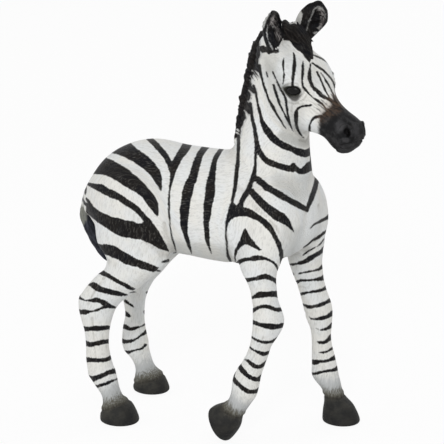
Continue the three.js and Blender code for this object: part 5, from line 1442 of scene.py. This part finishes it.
class HairFinish(Finish):
    """A finish over combed hair, with the values and the two paints that its colour is mixed from."""

    def __init__(self, name, fineness, wear):
        super().__init__(name)
        self.places = self.kept("hair", True)
        self.hollow = self.kept("hollow")
        self.sunk = self.math("MAXIMUM", self.hollow, 0.0)
        hair = self.group(SHORT_HAIR, places=self.places, fineness=fineness, depth=1.0)
        self.relief, self.streak = hair["Relief"], hair["Streak"]
        self.white = self.group(PALE_PAINT, places=self.places, streak=self.streak, hollow=self.sunk)["Color"]
        self.black = self.group(DARK_PAINT, places=self.places, streak=self.streak, wear=wear)["Color"]

    def brushed(self, name, waver, softness):
        """Where a kept shape is painted, with a brushed edge."""
        shape = {"depth": self.kept(name), "places": self.places, "waver": waver, "softness": softness}
        return self.group(BRUSHED_EDGE, **shape)["Mask"]

    def satin(self, smooth, rough):
        """A roughness that goes from smooth to rough with the hair's streaks."""
        return self.stepped(self.streak, 0.0, 1.0, smooth, rough)

    def sealed(self, colour, roughness, specular, relief, depth):
        """The finish with its colour, its sheen and a relief of a depth in millimetres on its shader."""
        self.feed("Base Color", colour)
        self.feed("Roughness", roughness)
        self.feed("Specular IOR Level", specular)
        bump = self.put("Bump", {"Strength": 1.0, "Distance": depth * MM, "Height": relief})
        self.feed("Normal", bump.outputs[0])
        return self.finish


def leather_paint(nodes, brown):
    """The muzzle's black, with spots, painted highlights and painted shade in its hollows, browner towards
    the bridge of the nose.
    """
    spots = nodes.stepped(nodes.noise(nodes.places, 0.9, 4.0, 0.6), 0.4, 0.75)
    leather = nodes.blend(spots, PAINT["muzzle"], PAINT["muzzle's spots"])
    # painted highlights: paler places round the nostril, on the end of the nose and on the lip
    leather = nodes.blend(nodes.kept("sheen"), leather, PAINT["muzzle's painted highlight"])
    browned = nodes.times(brown, nodes.stepped(nodes.streak, 0.2, 0.8, 0.2, 0.85))
    leather = nodes.blend(browned, leather, PAINT["brown muzzle"])
    # painted shade in the muzzle's hollows
    return nodes.blend(nodes.times(nodes.sunk, 0.6), leather, PAINT["muzzle's shade in hollows"])


def horn_paint(nodes, foot):
    """The hooves' dark grey, in blotches, darker towards the ground, with painted shade in their hollows."""
    blotches = nodes.stepped(nodes.noise(nodes.kept("foot_places", True), 0.5, 3.0, 0.5), 0.35, 0.65)
    horn = nodes.blend(blotches, PAINT["dark horn"], PAINT["pale horn"])
    horn = nodes.blend(nodes.stepped(foot, -0.1, -0.9, 0.0, 0.5), horn, PAINT["horn's foot"])
    # painted shade in the hooves' hollows
    return nodes.blend(nodes.times(nodes.sunk, 0.7), horn, PAINT["horn's shade in hollows"])


def make_coat():
    """White coat with black stripes, dark muzzle and hooves, grey pasterns and wet eyes."""
    nodes = HairFinish("painted zebra coat", 1.9, 0.36)
    streak = nodes.streak
    stripe = nodes.brushed("stripe", nodes.times(nodes.kept("steady"), 0.34), 0.1)
    # painted shade: grey sprayed where the coat lies in shadow, under the jaw, on the throat, breast and
    # belly
    pale = nodes.blend(nodes.kept("painted_shade"), nodes.white, PAINT["painted shade's grey"])
    foot = nodes.kept("foot")
    ragged = nodes.math("MULTIPLY_ADD", nodes.math("SUBTRACT", streak, 0.5), 0.25, foot)
    pale = nodes.blend(nodes.stepped(ragged, 1.25, 0.5), pale, PAINT["upper pastern"])
    pale = nodes.blend(nodes.stepped(ragged, 0.55, 0.06), pale, PAINT["lower pastern"])
    coat = nodes.blend(stripe, pale, nodes.black)

    muzzle = nodes.brushed("muzzle", 0.5, 0.4)
    brown = nodes.brushed("brown", 0.8, 1.2)
    coat = nodes.blend(nodes.times(brown, 0.4), coat, PAINT["brown bridge"])
    coat = nodes.blend(muzzle, coat, leather_paint(nodes, brown))
    nose_streaks = nodes.times(nodes.brushed("nose_streak", 0.3, 0.14), 0.75)
    coat = nodes.blend(nose_streaks, coat, PAINT["nose's streaks"])
    coat = nodes.blend(nodes.stepped(nodes.kept("nostril"), -0.1, 0.3), coat, PAINT["nostril"])

    hoof = nodes.stepped(ragged, 0.16, -0.06)
    coat = nodes.blend(hoof, coat, horn_paint(nodes, foot))
    coronet = nodes.times(nodes.stepped(ragged, -0.24, 0.02), nodes.stepped(ragged, 0.42, 0.12))
    coronet = nodes.times(coronet, nodes.stepped(streak, 0.0, 1.0, 0.75, 0.3))
    coat = nodes.blend(coronet, coat, PAINT["coronet"])

    shadow = nodes.blend(streak, PAINT["eye's shadow"], PAINT["shadow's streaks"])
    coat = nodes.blend(nodes.brushed("eye_surround", 0.15, 0.2), coat, shadow)
    lid = nodes.times(nodes.stepped(nodes.kept("lower_lid"), -0.25, 0.3), 0.8)
    coat = nodes.blend(lid, coat, PAINT["lower lid"])
    eye = nodes.stepped(nodes.kept("eye"), -0.03, 0.05)
    coat = nodes.blend(eye, coat, PAINT["eye"])

    roughness = nodes.math("MULTIPLY_ADD", stripe, -0.08, nodes.satin(0.46, 0.62))
    roughness = nodes.math("MAXIMUM", nodes.math("MULTIPLY_ADD", eye, -0.42, roughness), 0.06)
    nodes.feed("Coat Weight", nodes.times(eye, 0.26))
    nodes.feed("Coat Roughness", 0.09)

    rings = nodes.noise(nodes.stretched(nodes.kept("foot_places", True), (3.4, 0.25, 0.25)), 1.0, 2.0)
    relief = nodes.math("MULTIPLY_ADD", muzzle, nodes.times(nodes.relief, -0.6), nodes.relief)
    relief = nodes.math("MULTIPLY_ADD", hoof, nodes.math("SUBTRACT", rings, relief), relief)
    relief = nodes.times(relief, nodes.math("SUBTRACT", 1.0, eye))
    return nodes.sealed(coat, roughness, 0.05, relief, 0.16)


def make_ear():
    """Black ear with a pale line along its edge, a pale back and grey hair in the hollow."""
    nodes = HairFinish("painted ear", 1.3, 0.16)
    hairs = nodes.stepped(nodes.streak, 0.2, 0.8)
    grey = nodes.blend(hairs, PAINT["ear's dark hairs"], PAINT["ear's pale hairs"])
    coat = nodes.blend(nodes.brushed("fuzz", 0.5, 0.3), nodes.black, grey)
    pale = nodes.times(nodes.brushed("pale", 0.45, 0.16), nodes.kept("paleness"))
    coat = nodes.blend(pale, coat, nodes.white)
    return nodes.sealed(coat, nodes.satin(0.45, 0.6), 0.05, nodes.relief, 0.2)


def make_mane():
    """Black bristles, paler at their tips where they stand out, with white tufts at the foot."""
    nodes = HairFinish("painted mane bristles", 1.5, 0.14)
    tips = nodes.stepped(nodes.hollow, -0.2, -1.0, 0.0, 0.08)
    black = nodes.blend(tips, nodes.black, PAINT["mane's tips"])
    coat = nodes.blend(nodes.brushed("stripe", 0.3, 0.2), nodes.white, black)
    return nodes.sealed(coat, nodes.satin(0.4, 0.6), 0.02, nodes.relief, 0.2)


def make_tail():
    """White dock with black marks, and a tuft that goes from grey to black."""
    nodes = HairFinish("painted tail hair", 1.3, 0.3)
    streak = nodes.streak
    black = nodes.blend(nodes.stepped(streak, 0.1, 0.9, 0.3, 0.75), nodes.black, PAINT["tuft's sheen"])
    grey = nodes.blend(streak, PAINT["tail's grey"], PAINT["tail's pale grey"])
    # painted shade in the hollows of the tuft's grey
    grey = nodes.blend(nodes.sunk, grey, PAINT["tail's shade in hollows"])
    tuft = nodes.math("MULTIPLY_ADD", nodes.math("SUBTRACT", streak, 0.5), 0.5, nodes.kept("tuft"))
    ground = nodes.blend(tuft, nodes.white, grey)
    coat = nodes.blend(nodes.brushed("stripe", 0.4, 0.25), ground, black)
    return nodes.sealed(coat, nodes.satin(0.42, 0.6), 0.02, nodes.relief, 0.2)


split_skin(skin_paint(), make_coat(), make_ear())
mane_locks = mane_strands(np.random.default_rng(11)) + forelock_strands(np.random.default_rng(12))
hair_piece("mane", mane_locks, make_mane(), mane_paint)
hair_piece("tail", tail_strands(np.random.default_rng(13)), make_tail(), tail_paint)


# The lamps: where each stands, how wide it is, both in metres, and its power
LAMPS = {
    "key": ((0.3, -0.55, 0.55), 0.4, 1.35),
    "catch light": ((0.17, -0.52, 0.35), 0.075, 0.75),
    "fill": ((-0.6, -0.4, 0.35), 0.5, 0.85),
    "rim": ((0.1, 0.6, 0.5), 0.5, 1.05),
}
SURROUND_LIGHT = 0.53
FLOOR_REACH = 2
FLOOR_GLOW = 0.92


def seen_or_mirrored(nodes):
    """1 where the camera sees a thing straight, mirrored or through glass, and 0 for the light it gives."""
    path = nodes.put("LightPath").outputs
    mirrored = nodes.math("MAXIMUM", path["Is Glossy Ray"], path["Is Transmission Ray"])
    return nodes.math("MAXIMUM", path["Is Camera Ray"], mirrored)


def make_stage():
    """A white floor that keeps the shadow, soft lamps, and a white surround for the camera."""
    scene = bpy.context.scene
    scene.view_settings.view_transform = "Standard"
    world = bpy.data.worlds.new("surround")
    scene.world = world
    world.use_nodes = True
    nodes = Nodes(world.node_tree)
    lit = world.node_tree.nodes["Background"]
    lit.inputs["Color"].default_value = WHITE
    lit.inputs["Strength"].default_value = SURROUND_LIGHT
    white = nodes.put("Background", {"Color": WHITE, "Strength": 1.0})
    mix = nodes.put("MixShader", {0: seen_or_mirrored(nodes), 1: lit.outputs[0], 2: white.outputs[0]})
    nodes.join(mix.outputs[0], world.node_tree.nodes["World Output"].inputs["Surface"])

    for name, (place, size, power) in LAMPS.items():
        lamp = bpy.data.objects.new(name, bpy.data.lights.new(name, "AREA"))
        lamp.data.size = size
        lamp.data.energy = power
        lamp.location = place
        lamp.rotation_euler = (VIEW_TARGET - Vector(place)).to_track_quat("-Z", "Y").to_euler()
        scene.collection.objects.link(lamp)

    corners = FLOOR_REACH * np.array([(-1, -1, 0), (1, -1, 0), (1, 1, 0), (-1, 1, 0)], float)
    floor = bpy.data.objects.new("floor", mesh_from("floor", corners, np.array([[0, 1, 2, 3]])))
    scene.collection.objects.link(floor)
    card = Finish("white card")
    grain = card.noise(card.put("TexCoord").outputs["Object"], 900.0, 3.0)
    card.feed("Base Color", card.blend(grain, PAINT["card"], PAINT["card's grain"]))
    card.feed("Roughness", 0.9)
    card.feed("Specular IOR Level", 0.1)
    glow = card.put("Emission", {"Color": WHITE, "Strength": 1.0})
    share = card.times(seen_or_mirrored(card), FLOOR_GLOW)
    mix = card.put("MixShader", {0: share, 1: card.shader.outputs[0], 2: glow.outputs[0]})
    card.join(mix.outputs[0], card.tree.nodes["Material Output"].inputs["Surface"])
    floor.data.materials.append(card.finish)


make_camera()
make_stage()
